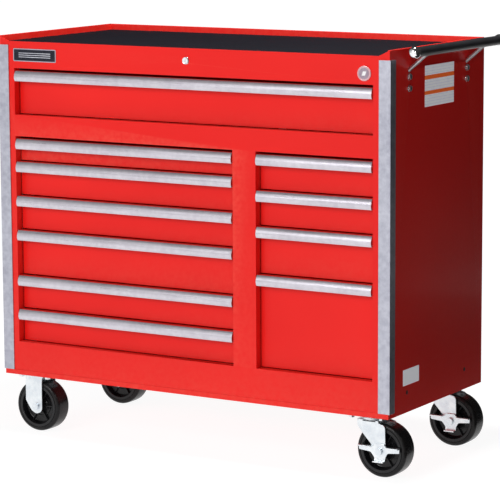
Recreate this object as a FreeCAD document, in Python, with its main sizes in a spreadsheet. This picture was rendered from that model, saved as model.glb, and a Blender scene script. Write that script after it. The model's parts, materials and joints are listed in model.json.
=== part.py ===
import FreeCAD, Part
import os
import re
import Sketcher

# A rolling tool chest in millimetres: a folded sheet-steel cabinet with drawers in two columns under
# one full-width drawer, on two rigid and two swivel casters. The front faces -Y, the handle side is +X,
# +Z is up, and the origin is on the floor at the centre of the whole chest's footprint.

doc = FreeCAD.newDocument("ToolChest")

# ---------------------------------------------------------------- driving dimensions
sizes = {
    # cabinet
    "cabinetWidth": 1067,
    "cabinetDepth": 477,
    "steel": 1.2,
    "stileWidth": 42,
    "mullionWidth": 62,
    "rightWidth": 305,
    "bottomRail": 83,
    "midRail": 52,
    "topRail": 65,
    "lipRise": 13,
    "lipWidth": 6,
    "cornerSlope": 28,
    "jambDepth": 22,
    "matThickness": 3,
    "matDrop": 0.6,
    "matGap": 0.5,
    # drawer rows
    "modulePitch": 28,
    "columnUnits": 18,
    "columnClear": 3,
    "topUnits": 4,
    "topClear": 1,
    "ledgeDrop": 6.5,
    "rowGap": 2.5,
    "sillGap": 2,
    # drawers
    "faceRecess": 20,
    "faceGap": 2,
    "faceReturn": 6,
    "lipFront": 1.5,
    "lipFlange": 23.4,
    "trayDrop": 9,
    "trayLift": 4,
    "rearClear": 50,
    # pulls
    "pullHeight": 25,
    "pullProud": 5,
    "pullCrease": 15,
    "pullFootProud": 2,
    "pullWall": 1.6,
    "pullHook": 5,
    "pullRoot": 4,
    # slides
    "slideThickness": 12.2,
    "slideHeight": 35,
    "slideWall": 1.2,
    "slideFlange": 9,
    "slideStart": 28,
    "innerHeight": 24,
    "slideLift": 8,
    # slide posts and partition
    "postDepth": 50,
    "postStart": 24,
    "postGrip": 25,
    "postFoot": 8,
    "partitionRise": 8,
    # corner trims
    "trimFrontLeg": 26.5,
    "trimSideLeg": 22.5,
    "trimFrontProud": 2.5,
    "trimSideProud": 4,
    "trimFoot": 12,
    "trimTopDrop": 22,
    # badges and labels
    "badgeWidth": 125,
    "badgeHeight": 31,
    "badgeThickness": 1.5,
    "badgeInset": 41,
    "badgeDrop": 17,
    "emblemRadius": 17,
    "emblemThickness": 2,
    "emblemInset": 64,
    "emblemDrop": 40,
    "labelThickness": 0.3,
    "labelWidth": 147,
    "labelHeight": 94,
    "labelShift": 5,
    "labelDrop": 46,
    "stickerWidth": 79,
    "stickerHeight": 37,
    "stickerFront": 69,
    "stickerLift": 64,
    # lock
    "lockDrop": 29,
    "lockBezelRadius": 9.5,
    "lockBezelProud": 3,
    "lockBarrelRadius": 8,
    "lockBarrelLength": 26,
    "plugRadius": 6,
    "turnClearance": 0.05,
    "keySlotWidth": 1.2,
    "keySlotHeight": 7,
    "keySlotDepth": 3,
    "rodRadius": 3,
    "crankRadius": 11,
    "crankThickness": 3,
    "crankThrow": 8,
    "crankPinRadius": 2,
    "lockBarWidth": 20,
    "lockBarThickness": 2,
    "lockBarBack": 22,
    "lockBarFoot": 95,
    "lockBarCap": 8,
    "lockHookReach": 10,
    "lockHookThickness": 2,
    "lockHookGap": 6,
    "pinPlay": 0.4,
    "crankLead": 1.8,
    # handle
    "gripReach": 55,
    "gripDrop": 3.5,
    "gripRadius": 11,
    "gripFront": 0,
    "gripRear": 19,
    "capRadius": 14,
    "armRadius": 4,
    "armDrop": 49,
    "armInset": 93,
    "armHoleGap": 0.6,
    "armPlateWidth": 32,
    "armPlateThickness": 3,
    "armPlateTop": 40,
    "armPlateHeight": 66,
    "handleBoltDrop": 65,
    "handleBoltPitch": 26,
    "handleBoltRadius": 3,
    "handleHeadRadius": 7,
    "handleHeadHeight": 5,
    "boltGap": 0.2,
    # casters
    "casterHeight": 146,
    "casterInsetX": 69,
    "casterInsetY": 58,
    "casterTrail": 32,
    "wheelRadius": 63.5,
    "wheelWidth": 50,
    "treadRound": 6,
    "rimRadius": 51,
    "webThickness": 14,
    "hubRadius": 17,
    "hubOverhang": 1.4,
    "hubGap": 0.4,
    "axleRadius": 6,
    "axleHeadRadius": 8.5,
    "axleHeadHeight": 5,
    "forkWall": 4,
    "forkFootRadius": 17.5,
    "footShare": 0.7,
    "footRise": 12,
    "rigidLegLead": 33,
    "swivelLegBulge": 12.5,
    "swivelLegDrop": 9,
    "plateLength": 100,
    "plateMargin": 8.5,
    "plateThickness": 4,
    "raceHeight": 9,
    "raceGap": 0.3,
    "raceRadius": 30,
    "raceBore": 20,
    "crownLength": 60,
    "kingpinRadius": 6,
    "kingpinHeadRadius": 10,
    "kingpinHeadHeight": 3.5,
    "casterBoltX": 39,
    "boltRowGap": 9,
    "casterBoltRadius": 4,
    "casterHeadRadius": 7.5,
    "casterHeadHeight": 5.3,
    "pedalThickness": 3,
    "pedalGap": 0.5,
    "pedalSpan": 104,
    "pedalTop": 12.5,
    "pedalArmDrop": 4,
    "pedalDiscRadius": 15,
    "pedalFootWidth": 30,
    "pedalFootDrop": 24.5,
    "pedalTread": 9,
}

# ---------------------------------------------------------------- places worked out from them
layout = {
    "leftWidth": "cabinetWidth - 2 * stileWidth - mullionWidth - rightWidth",
    "topWidth": "cabinetWidth - 2 * stileWidth",
    "mullionLeft": "stileWidth + leftWidth",
    "mullionRight": "mullionLeft + mullionWidth",
    "rightJamb": "cabinetWidth - stileWidth",
    "columnTop": "bottomRail + columnUnits * modulePitch + columnClear",
    "topSill": "columnTop + midRail",
    "topOpening": "topSill + topUnits * modulePitch + topClear",
    "frontTop": "topOpening + topRail",
    "lipTop": "frontTop + lipRise",
    "matTop": "frontTop - matDrop",
    "deckTop": "matTop - matThickness",
    "deckFoot": "deckTop - steel",
    "backInside": "cabinetDepth - steel",
    "rightInside": "cabinetWidth - steel",
    "trayBack": "cabinetDepth - rearClear",
    "slideLength": "trayBack - slideStart",
    "faceBack": "faceRecess + steel",
    "lockHeight": "frontTop - lockDrop",
    "lockBarFront": "backInside - lockBarBack",
    "crankBack": "lockBarFront - pinPlay",
    "gripHeight": "lipTop - gripDrop",
    "gripLength": "cabinetDepth - gripFront - gripRear",
    "armHeight": "lipTop - armDrop",
    "armSlope": "(gripHeight - armHeight) / gripReach",
    "armSpan": "sqrt(gripReach ^ 2 + (gripHeight - armHeight) ^ 2)",
    "armRear": "cabinetDepth - armInset",
    "wheelAxle": "wheelRadius - casterHeight",
    "hubHalf": "wheelWidth / 2 + hubOverhang",
    "casterBoltY": "wheelWidth / 2 + boltRowGap",
    "plateWidth": "wheelWidth + 2 * boltRowGap + 2 * plateMargin",
    "forkInside": "hubHalf + hubGap",
    "forkOutside": "forkInside + forkWall",
    "crownTop": "-plateThickness - raceHeight",
    "crownFoot": "crownTop - forkWall",
    "casterRight": "cabinetWidth - casterInsetX",
    "casterRear": "cabinetDepth - casterInsetY",
    "cabinetLeft": "(trimSideProud - cabinetWidth - gripReach - capRadius) / 2",
    "cabinetFront": "(pullProud - cabinetDepth) / 2",
}


def expression(text, own=()):
    # Puts the sheet's name before each alias; aliases in own stay bare.
    def named(match):
        word = match.group(0)
        if word in own:
            return word
        if word in sizes:
            return "Sizes." + word
        if word in layout:
            return "Layout." + word
        return word

    return re.sub(r"[A-Za-z]\w*", named, text)


def fillSheet(name, cells):
    sheet = doc.addObject("Spreadsheet::Sheet", name)
    for row, (alias, content) in enumerate(cells.items(), start=1):
        sheet.set(f"A{row}", alias)
        sheet.set(f"B{row}", content)
        sheet.setAlias(f"B{row}", alias)
    return sheet


fillSheet("Sizes", {alias: str(number) for alias, number in sizes.items()})
fillSheet("Layout", {alias: "=" + expression(text, own=layout) for alias, text in layout.items()})
doc.recompute()


# ---------------------------------------------------------------- building helpers
def bind(item, path, text):
    item.setExpression(path, expression(text))


starts = {}


def place(item, x, y, z):
    starts[item.Name] = (x, y, z)
    for axis, text in zip("xyz", (x, y, z)):
        bind(item, f"Placement.Base.{axis}", text)
    return item


def block(name, x, y, z):
    # A box between pairs of low and high coordinates.
    item = doc.addObject("Part::Box", name)
    for side, (low, high) in zip(("Length", "Width", "Height"), (x, y, z)):
        bind(item, side, f"({high}) - ({low})")
    return place(item, x[0], y[0], z[0])


turns = {
    "x": FreeCAD.Rotation(FreeCAD.Vector(0, 1, 0), 90),
    "y": FreeCAD.Rotation(FreeCAD.Vector(1, 0, 0), -90),
    "z": FreeCAD.Rotation(),
}


def rod(name, axis, radius, start, length):
    # A cylinder that runs from start towards +axis.
    item = doc.addObject("Part::Cylinder", name)
    item.Placement = FreeCAD.Placement(FreeCAD.Vector(), turns[axis])
    bind(item, "Radius", radius)
    bind(item, "Height", length)
    return place(item, *start)


def hexagon(name, axis, radius, start, length):
    item = doc.addObject("Part::Prism", name)
    item.Polygon = 6
    item.Placement = FreeCAD.Placement(FreeCAD.Vector(), turns[axis])
    bind(item, "Circumradius", radius)
    bind(item, "Height", length)
    return place(item, *start)


def fused(name, pieces):
    item = doc.addObject("Part::MultiFuse", name)
    item.Shapes = pieces
    return item


def grouped(name, pieces):
    item = doc.addObject("Part::Compound", name)
    item.Links = pieces
    return item


def cutFrom(name, base, tools):
    item = doc.addObject("Part::Cut", name)
    item.Base = base
    item.Tool = tools[0] if len(tools) == 1 else fused(name + "_tools", tools)
    return item


def newBody(name):
    return doc.addObject("PartDesign::Body", name)


def newSketch(body, role, start="0"):
    # A sketch on one of the body's origin planes, moved along that plane's row axis to start.
    sketch = body.newObject("Sketcher::SketchObject", f"{body.Name}_sketch")
    plane = next(item for item in body.Origin.OriginFeatures if item.Role == role)
    sketch.AttachmentSupport = (plane, [""])
    sketch.MapMode = "FlatFace"
    sign = "-" if role == "XZ_Plane" else ""
    bind(sketch, "AttachmentOffset.Base.z", f"{sign}({start})")
    return sketch


def outline(sketch, points):
    # A closed polygon whose corners are held by named sizes.
    first = sketch.GeometryCount
    count = len(points)
    spots = [FreeCAD.Vector(10 * number, number * number, 0) for number in range(count)]
    for number in range(count):
        sketch.addGeometry(Part.LineSegment(spots[number], spots[(number + 1) % count]))
    for number in range(count):
        follower = first + (number + 1) % count
        sketch.addConstraint(Sketcher.Constraint("Coincident", first + number, 2, follower, 1))
    for number, (across, up) in enumerate(points):
        for kind, text, guess in (("DistanceX", across, spots[number].x), ("DistanceY", up, spots[number].y)):
            rule = Sketcher.Constraint(kind, -1, 1, first + number, 1, guess)
            index = sketch.addConstraint(rule)
            bind(sketch, f"Constraints[{index}]", text)


def rectangle(sketch, x, y):
    outline(sketch, [(x[0], y[0]), (x[1], y[0]), (x[1], y[1]), (x[0], y[1])])


def pad(body, sketch, length):
    # Pads towards the plane's positive row axis.
    feature = body.newObject("PartDesign::Pad", f"{body.Name}_pad")
    feature.Profile = sketch
    feature.Reversed = sketch.AttachmentSupport[0][0].Role == "XZ_Plane"
    bind(feature, "Length", length)
    return feature


def extrusion(name, role, points, start, length):
    body = newBody(name)
    sketch = newSketch(body, role, start)
    outline(sketch, points)
    pad(body, sketch, length)
    return body


def revolution(name, points):
    # A ring about the body's own Y axis, from (radius, y) points.
    body = newBody(name)
    sketch = newSketch(body, "XY_Plane")
    outline(sketch, points)
    feature = body.newObject("PartDesign::Revolution", f"{name}_turned")
    feature.Profile = sketch
    feature.ReferenceAxis = (sketch, ["V_Axis"])
    feature.Angle = 360
    return body


nodes = []


def node(item, label, x="0", y="0", z="0"):
    # Names a finished sub-part and moves it, with its own start, into the chest's frame.
    item.Label = label
    own = starts.get(item.Name, ("0", "0", "0"))
    whole = zip(("cabinetLeft", "cabinetFront", "casterHeight"), (x, y, z), own)
    place(item, *(f"{base} + {offset} + {start}" for base, offset, start in whole))
    nodes.append(item)


# ---------------------------------------------------------------- cabinet shell
def buildWalls():
    # Each side is one sheet with its top edge folded over and down into a lip beside the mat.
    lip = [
        ("0", "0"),
        ("0", "lipTop"),
        ("lipWidth", "lipTop"),
        ("lipWidth", "deckTop"),
        ("lipWidth - steel", "deckTop"),
        ("lipWidth - steel", "lipTop - steel"),
        ("steel", "lipTop - steel"),
        ("steel", "0"),
    ]
    mirrored = [(f"cabinetWidth - ({across})", up) for across, up in lip]
    depth = "cabinetDepth - steel"
    node(extrusion("LeftWall", "XZ_Plane", lip, "steel", depth), "side_wall_left")

    right = extrusion("RightWall", "XZ_Plane", mirrored, "steel", depth)
    tools = []
    for number, y in enumerate(("armInset", "armRear")):
        tools.append(armRod(f"ArmHole{number}", "armRadius + armHoleGap", y))
        for row in range(2):
            start = ("rightInside", y, f"lipTop - handleBoltDrop - {row} * handleBoltPitch")
            hole = rod(f"WallBoltHole{number}{row}", "x", "handleBoltRadius + boltGap", start, "steel")
            tools.append(hole)
    node(cutFrom("RightWallCut", right, tools), "side_wall_right")

    back = [
        ("cabinetDepth", "0"),
        ("cabinetDepth", "lipTop"),
        ("cabinetDepth - lipWidth", "lipTop"),
        ("cabinetDepth - lipWidth", "deckTop"),
        ("cabinetDepth - lipWidth + steel", "deckTop"),
        ("cabinetDepth - lipWidth + steel", "lipTop - steel"),
        ("backInside", "lipTop - steel"),
        ("backInside", "0"),
    ]
    # The lip is notched at both ends, where the side lips run through.
    panel = extrusion("BackPanel", "YZ_Plane", back, "steel", "cabinetWidth - 2 * steel")
    notches = []
    for number, x in enumerate((("0", "lipWidth"), ("cabinetWidth - lipWidth", "cabinetWidth"))):
        y = ("cabinetDepth - lipWidth - steel", "cabinetDepth")
        notches.append(block(f"LipNotch{number}", x, y, ("deckTop - steel", "lipTop")))
    node(cutFrom("BackWall", panel, notches), "back_wall")


def buildFrontFrame():
    # The face sheet with its three openings, and four return strips welded behind it round each opening.
    body = newBody("FrontFrame")
    face = newSketch(body, "XZ_Plane")
    outline(
        face,
        [
            ("0", "0"),
            ("cabinetWidth", "0"),
            ("cabinetWidth", "lipTop"),
            ("cabinetWidth - cornerSlope", "frontTop"),
            ("cornerSlope", "frontTop"),
            ("0", "lipTop"),
        ],
    )
    openings = (
        (("stileWidth", "mullionLeft"), ("bottomRail", "columnTop")),
        (("mullionRight", "rightJamb"), ("bottomRail", "columnTop")),
        (("stileWidth", "rightJamb"), ("topSill", "topOpening")),
    )
    for x, z in openings:
        rectangle(face, x, z)
    pad(body, face, "steel")
    start = ("cabinetWidth / 2", "-steel", "lockHeight")
    lockHole = rod("LockHole", "y", "lockBarrelRadius + turnClearance", start, "3 * steel")
    solids = [cutFrom("FrontSheet", body, [lockHole])]
    depth = ("steel", "jambDepth")
    for number, (x, z) in enumerate(openings):
        across = (f"{x[0]} - steel", f"{x[1]} + steel")
        strips = (
            ((across[0], x[0]), z),
            ((x[1], across[1]), z),
            (across, (f"{z[0]} - steel", z[0])),
            (across, (z[1], f"{z[1]} + steel")),
        )
        for side, (width, height) in enumerate(strips):
            solids.append(block(f"Return{number}{side}", width, depth, height))
    node(grouped("FrontFrameSet", solids), "front_frame")


def buildPanels():
    inside = ("steel", "rightInside")
    depth = ("steel", "backInside")
    pan = block("PanSheet", inside, depth, ("0", "steel"))
    holes = []
    for number, (x, y) in enumerate(casterPlaces()):
        for corner, (dx, dy) in enumerate(boltCorners()):
            start = (f"{x} + {dx}", f"{y} + {dy}", "-steel")
            name = f"PanHole{number}{corner}"
            holes.append(rod(name, "z", "casterBoltRadius + boltGap", start, "3 * steel"))
    node(cutFrom("BottomPan", pan, holes), "bottom_pan")

    sheet = block("DeckSheet", inside, depth, ("deckFoot", "deckTop"))
    node(sheet, "top_deck")

    x = ("lipWidth + matGap", "cabinetWidth - lipWidth - matGap")
    y = ("steel + matGap", "cabinetDepth - lipWidth - matGap")
    node(block("TopMat", x, y, ("deckTop", "matTop")), "top_mat")


def buildPosts():
    # Two channels a side carry the slides, flush with the jambs, their feet above the caster nuts.
    solids = []
    sides = (("steel", "stileWidth", "-"), ("rightInside", "rightJamb", "+"))
    for side, (wall, jamb, outward) in enumerate(sides):
        for end, low in enumerate(("postStart", "trayBack - postGrip")):
            high = f"{low} + postDepth"
            inner = f"{jamb} {outward} steel"
            channel = [
                (wall, low),
                (jamb, low),
                (jamb, high),
                (wall, high),
                (wall, f"{high} - steel"),
                (inner, f"{high} - steel"),
                (inner, f"{low} + steel"),
                (wall, f"{low} + steel"),
            ]
            name = f"Post{side}{end}"
            solids.append(extrusion(name, "XY_Plane", channel, "postFoot", "deckFoot - postFoot"))
    node(grouped("SlidePosts", solids), "slide_posts")

    body = newBody("Partition")
    plan = newSketch(body, "XY_Plane", "steel")
    rectangle(plan, ("mullionLeft", "mullionRight"), ("postStart", "backInside"))
    y = ("postStart + steel", "backInside - steel")
    rectangle(plan, ("mullionLeft + steel", "mullionRight - steel"), y)
    pad(body, plan, "columnTop + partitionRise - steel")
    node(body, "centre_partition")


def buildTrims():
    right = [
        ("cabinetWidth + trimSideProud", "-trimFrontProud"),
        ("cabinetWidth + trimSideProud", "trimSideLeg"),
        ("cabinetWidth", "trimSideLeg"),
        ("cabinetWidth", "0"),
        ("cabinetWidth - trimFrontLeg", "0"),
        ("cabinetWidth - trimFrontLeg", "-trimFrontProud"),
    ]
    left = [(f"cabinetWidth - ({x})", y) for x, y in right]
    height = "lipTop - trimTopDrop - trimFoot"
    node(extrusion("LeftTrim", "XY_Plane", left, "trimFoot", height), "corner_trim_left")
    node(extrusion("RightTrim", "XY_Plane", right, "trimFoot", height), "corner_trim_right")


def buildBadges():
    x = ("badgeInset", "badgeInset + badgeWidth")
    z = ("frontTop - badgeDrop - badgeHeight", "frontTop - badgeDrop")
    node(block("BadgePlate", x, ("-badgeThickness", "0"), z), "badge_plate")
    start = ("cabinetWidth - emblemInset", "-emblemThickness", "frontTop - emblemDrop")
    node(rod("RoundBadge", "y", "emblemRadius", start, "emblemThickness"), "round_badge")
    x = ("cabinetWidth", "cabinetWidth + labelThickness")
    middle = "((armInset + armRear) / 2 + labelShift)"
    y = (f"{middle} - labelWidth / 2", f"{middle} + labelWidth / 2")
    z = ("lipTop - labelDrop - labelHeight", "lipTop - labelDrop")
    label = block("Label", x, y, z)
    y = ("stickerFront", "stickerFront + stickerWidth")
    sticker = block("Sticker", x, y, ("stickerLift", "stickerLift + stickerHeight"))
    node(grouped("SideLabels", [label, sticker]), "side_labels")


# ---------------------------------------------------------------- lock
def buildLock():
    x = "cabinetWidth / 2"
    z = "lockHeight"
    bezel = rod("LockBezel", "y", "lockBezelRadius", (x, "-lockBezelProud", z), "lockBezelProud")
    barrel = rod("LockBarrel", "y", "lockBarrelRadius", (x, "0", z), "lockBarrelLength")
    start = (x, "-lockBezelProud - 1", z)
    bore = rod("LockBore", "y", "plugRadius + turnClearance", start, "lockBarrelLength + 5")
    shell = fused("LockShell", [bezel, barrel])
    node(cutFrom("LockHousing", shell, [bore]), "lock_housing")

    plug = rod("LockPlug", "y", "plugRadius", (x, "-lockBezelProud", z), "lockBezelProud + lockBarrelLength")
    slot = block(
        "KeySlot",
        (f"{x} - keySlotWidth / 2", f"{x} + keySlotWidth / 2"),
        ("-lockBezelProud - 1", "keySlotDepth - lockBezelProud"),
        (f"{z} - keySlotHeight / 2", f"{z} + keySlotHeight / 2"),
    )
    node(cutFrom("LockCylinder", plug, [slot]), "lock_cylinder")

    shaftLength = "crankBack - lockBarrelLength"
    shaft = rod("LockShaft", "y", "rodRadius", (x, "lockBarrelLength", z), shaftLength)
    disc = rod("LockCrank", "y", "crankRadius", (x, "crankBack - crankThickness", z), "crankThickness")
    start = (f"{x} - crankThrow", "crankBack", z)
    pin = rod("CrankPin", "y", "crankPinRadius", start, "lockBarThickness + 2 * pinPlay")
    node(fused("LockRod", [shaft, disc, pin]), "lock_rod")

    # One flat frame with a leg behind each column, a cross bar, and a hook finger above each tray's back.
    body = newBody("LockBar")
    plan = newSketch(body, "XZ_Plane", "lockBarFront")
    half = "lockBarWidth / 2"
    rightLeg = "(mullionRight + rightWidth / 2)"
    top = f"{z} + crankPinRadius + crankLead + lockBarCap"
    outline(
        plan,
        [
            (f"{x} - crankThrow - {half}", "lockBarFoot"),
            (f"{x} - crankThrow + {half}", "lockBarFoot"),
            (f"{x} - crankThrow + {half}", f"{z} - 2 * lockBarWidth"),
            (f"{rightLeg} - {half}", f"{z} - 2 * lockBarWidth"),
            (f"{rightLeg} - {half}", "lockBarFoot"),
            (f"{rightLeg} + {half}", "lockBarFoot"),
            (f"{rightLeg} + {half}", f"{z} - lockBarWidth"),
            (f"{x} + {half}", f"{z} - lockBarWidth"),
            (f"{x} + {half}", top),
            (f"{x} - crankThrow - {half}", top),
        ],
    )
    window = "(crankPinRadius + pinPlay)"
    rectangle(
        plan,
        (f"{x} - crankThrow - {window}", f"{x} + {window}"),
        (f"{z} - {window}", f"{z} + {window} + crankLead"),
    )
    pad(body, plan, "lockBarThickness")
    hooks = [body]
    fingers = [("left", row) for row in range(1, 7)] + [("right", row) for row in range(1, 5)]
    for column, row in fingers:
        middle = f"({x} - crankThrow)" if column == "left" else rightLeg
        ledge = ledgeHeight(column, row)
        low = f"{ledge} - trayDrop + lockHookGap - lockHookThickness"
        finger = block(
            f"Hook_{column}{row}",
            (f"{middle} - {half} / 2", f"{middle} + {half} / 2"),
            ("lockBarFront - lockHookReach", "lockBarFront"),
            (low, f"{low} + lockHookThickness"),
        )
        hooks.append(finger)
    node(fused("LockBarFrame", hooks), "lock_bar")


# ---------------------------------------------------------------- drawers
columns = {
    "left": {"units": (2, 3, 3, 4, 3, 3), "middle": "(stileWidth + leftWidth / 2)", "width": "leftWidth"},
    "right": {"units": (3, 3, 4, 8), "middle": "(mullionRight + rightWidth / 2)", "width": "rightWidth"},
}


def ledgeHeight(column, row):
    # Height of the folded ledge at the top of a column's drawer, rows counted from 1 at the top.
    above = sum(columns[column]["units"][: row - 1])
    return f"(columnTop - ledgeDrop - {above} * modulePitch)"


def listDrawers():
    # Name, middle, opening width, ledge height and height from ledge to face foot of every drawer.
    drawers = [("top", "(cabinetWidth / 2)", "topWidth", "(topOpening - ledgeDrop)", "topSill")]
    rows = [(column, row) for column in columns for row in range(1, len(columns[column]["units"]) + 1)]
    for column, row in rows:
        facts = columns[column]
        last = row == len(facts["units"])
        below = "bottomRail" if last else ledgeHeight(column, row + 1)
        drawers.append((f"{column}_{row}", facts["middle"], facts["width"], ledgeHeight(column, row), below))
    listed = []
    for name, middle, width, ledge, below in drawers:
        onSill = below in ("topSill", "bottomRail")
        gap = "sillGap" if onSill else "rowGap"
        listed.append((name, middle, width, ledge, f"({ledge} - {below} - {gap})"))
    return listed


def channelPoints(face, way, height, middle, flange):
    # A C section with its web on x = face, its flanges reaching out along way, centred on z = middle.
    half = f"{height} / 2"
    web = f"{face} {way} slideWall"
    tip = f"{face} {way} {flange}"
    return [
        (face, f"{middle} - {half}"),
        (tip, f"{middle} - {half}"),
        (tip, f"{middle} - {half} + slideWall"),
        (web, f"{middle} - {half} + slideWall"),
        (web, f"{middle} + {half} - slideWall"),
        (tip, f"{middle} + {half} - slideWall"),
        (tip, f"{middle} + {half}"),
        (face, f"{middle} + {half}"),
    ]


def buildDrawer(name, middle, width, ledge, height):
    # Local frame: x from the column's middle, y from the cabinet's front, z from the ledge's top.
    body = newBody(f"Drawer_{name}")
    front = newSketch(body, "YZ_Plane", f"faceGap - {width} / 2")
    outline(
        front,
        [
            ("lipFront", "-lipFlange"),
            ("lipFront", "0"),
            ("faceBack", "0"),
            ("faceBack", f"steel - {height}"),
            ("faceBack + faceReturn", f"steel - {height}"),
            ("faceBack + faceReturn", f"-{height}"),
            ("faceRecess", f"-{height}"),
            ("faceRecess", "-steel"),
            ("lipFront + steel", "-steel"),
            ("lipFront + steel", "-lipFlange"),
        ],
    )
    pad(body, front, f"{width} - 2 * faceGap")
    side = f"({width} / 2 - slideThickness)"
    floorHeight = f"trayLift - {height}"
    floor = newSketch(body, "XY_Plane", floorHeight)
    rectangle(floor, (f"-{side}", side), ("faceBack", "trayBack"))
    pad(body, floor, "steel")
    walls = newSketch(body, "XY_Plane", floorHeight)
    outline(
        walls,
        [
            (f"-{side}", "faceBack"),
            (f"-{side}", "trayBack"),
            (side, "trayBack"),
            (side, "faceBack"),
            (f"{side} - steel", "faceBack"),
            (f"{side} - steel", "trayBack - steel"),
            (f"steel - {side}", "trayBack - steel"),
            (f"steel - {side}", "faceBack"),
        ],
    )
    pad(body, walls, f"{height} - trayLift - trayDrop")
    middleZ = f"({floorHeight} + slideLift + innerHeight / 2)"
    members = [
        extrusion(
            f"Member_{name}{number}",
            "XZ_Plane",
            channelPoints(face, way, "innerHeight", middleZ, "slideFlange"),
            "slideStart",
            "slideLength",
        )
        for number, (face, way) in enumerate(((f"-{side}", "-"), (side, "+")))
    ]
    node(grouped(f"DrawerSet_{name}", [body] + members), f"drawer_{name}", middle, "0", ledge)


def buildPull(name, middle, width, ledge):
    # A snap-on extrusion over the drawer's folded lip, in the drawer's local frame.
    profile = [
        ("lipFront", "0"),
        ("-pullProud", "-pullCrease"),
        ("-pullFootProud", "-pullHeight"),
        ("lipFront + steel + pullWall", "-pullHeight"),
        ("lipFront + steel + pullWall", "pullHook - pullHeight"),
        ("lipFront + steel", "pullHook - pullHeight"),
        ("lipFront + steel", "-lipFlange"),
        ("lipFront", "-lipFlange"),
        ("pullWall - pullFootProud", "-lipFlange"),
        ("pullWall - pullProud", "-pullCrease"),
        ("lipFront", "-pullRoot"),
    ]
    start = f"faceGap - {width} / 2"
    body = extrusion(f"Pull_{name}", "YZ_Plane", profile, start, f"{width} - 2 * faceGap")
    node(body, f"pull_{name}", middle, "0", ledge)


def buildRails(drawers):
    # The fixed slide members, two for each drawer, screwed to the posts and the partition.
    solids = []
    for name, middle, width, ledge, height in drawers:
        heightMiddle = f"({ledge} - {height} + trayLift + slideLift + innerHeight / 2)"
        for number, (edge, way) in enumerate((("-", "+"), ("+", "-"))):
            face = f"{middle} {edge} {width} / 2"
            points = channelPoints(face, way, "slideHeight", heightMiddle, "slideFlange")
            solids.append(extrusion(f"Rail_{name}{number}", "XZ_Plane", points, "slideStart", "slideLength"))
    node(grouped("SlideRails", solids), "slide_rails")


# ---------------------------------------------------------------- handle
def armRod(name, radius, y):
    # A slanted round bar through the side wall up to the grip.
    item = doc.addObject("Part::Cylinder", name)
    item.Placement = FreeCAD.Placement(FreeCAD.Vector(), FreeCAD.Rotation(FreeCAD.Vector(0, 1, 0), 45))
    bind(item, "Placement.Rotation.Angle", "90 deg - atan(armSlope)")
    bind(item, "Radius", radius)
    bind(item, "Height", "armSpan - gripRadius + 2 * armPlateThickness")
    start = "2 * armPlateThickness"
    x = f"cabinetWidth - {start} * gripReach / armSpan"
    z = f"armHeight - {start} * (gripHeight - armHeight) / armSpan"
    return place(item, x, y, z)


def buildHandle():
    arms = []
    bolts = []
    plateX = ("rightInside - armPlateThickness", "rightInside")
    for number, y in enumerate(("armInset", "armRear")):
        bar = armRod(f"Arm{number}", "armRadius", y)
        z = ("lipTop - armPlateTop - armPlateHeight", "lipTop - armPlateTop")
        plateY = (f"{y} - armPlateWidth / 2", f"{y} + armPlateWidth / 2")
        plate = block(f"ArmPlate{number}", plateX, plateY, z)
        holes = []
        for row in range(2):
            height = f"lipTop - handleBoltDrop - {row} * handleBoltPitch"
            behind = "rightInside - armPlateThickness"
            start = (f"{behind} - 1", y, height)
            size = "handleBoltRadius + boltGap"
            holes.append(rod(f"PlateHole{number}{row}", "x", size, start, "armPlateThickness + 2"))
            length = "armPlateThickness + steel"
            shank = rod(f"Shank{number}{row}", "x", "handleBoltRadius", (behind, y, height), length)
            headStart = ("cabinetWidth", y, height)
            head = hexagon(f"Head{number}{row}", "x", "handleHeadRadius", headStart, "handleHeadHeight")
            nutStart = (f"{behind} - handleHeadHeight", y, height)
            nut = hexagon(f"Nut{number}{row}", "x", "handleHeadRadius", nutStart, "handleHeadHeight")
            bolts.append(fused(f"HandleBolt{number}{row}", [shank, head, nut]))
        arms.append(cutFrom(f"HandleArm{number}", fused(f"ArmJoined{number}", [bar, plate]), holes))
    node(grouped("HandleArms", arms), "handle_arms")
    node(grouped("HandleBolts", bolts), "handle_bolts")

    x = "cabinetWidth + gripReach"
    front = "gripFront + capRadius"
    rear = "gripFront + gripLength - capRadius"
    tube = rod("HandleTube", "y", "gripRadius", (x, front, "gripHeight"), f"{rear} - ({front})")
    node(tube, "handle_tube")
    caps = []
    for number, y in enumerate((front, rear)):
        ball = doc.addObject("Part::Sphere", f"CapBall{number}")
        bind(ball, "Radius", "capRadius")
        place(ball, x, y, "gripHeight")
        start = (x, front, "gripHeight")
        bore = rod(f"CapBore{number}", "y", "gripRadius + turnClearance", start, f"{rear} - ({front})")
        caps.append(cutFrom(f"Cap{number}", ball, [bore]))
    node(grouped("HandleCaps", caps), "handle_caps")


# ---------------------------------------------------------------- casters
def casterPlaces():
    # Kingpin or plate centres: the two rigid ones on the left, then the two swivel ones on the right.
    return [
        ("casterInsetX", "casterInsetY"),
        ("casterInsetX", "casterRear"),
        ("casterRight", "casterInsetY"),
        ("casterRight", "casterRear"),
    ]


def boltCorners():
    return [(f"{x}casterBoltX", f"{y}casterBoltY") for x in ("-", "") for y in ("-", "")]


def casterPlate(name):
    x = ("-plateLength / 2", "plateLength / 2")
    y = ("-plateWidth / 2", "plateWidth / 2")
    return block(f"{name}_plate", x, y, ("-plateThickness", "0"))


def plateHoles(name):
    holes = []
    for corner, (x, y) in enumerate(boltCorners()):
        start = (x, y, "-plateThickness - 1")
        radius = "casterBoltRadius + boltGap"
        holes.append(rod(f"{name}_hole{corner}", "z", radius, start, "plateThickness + 2"))
    return holes


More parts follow.
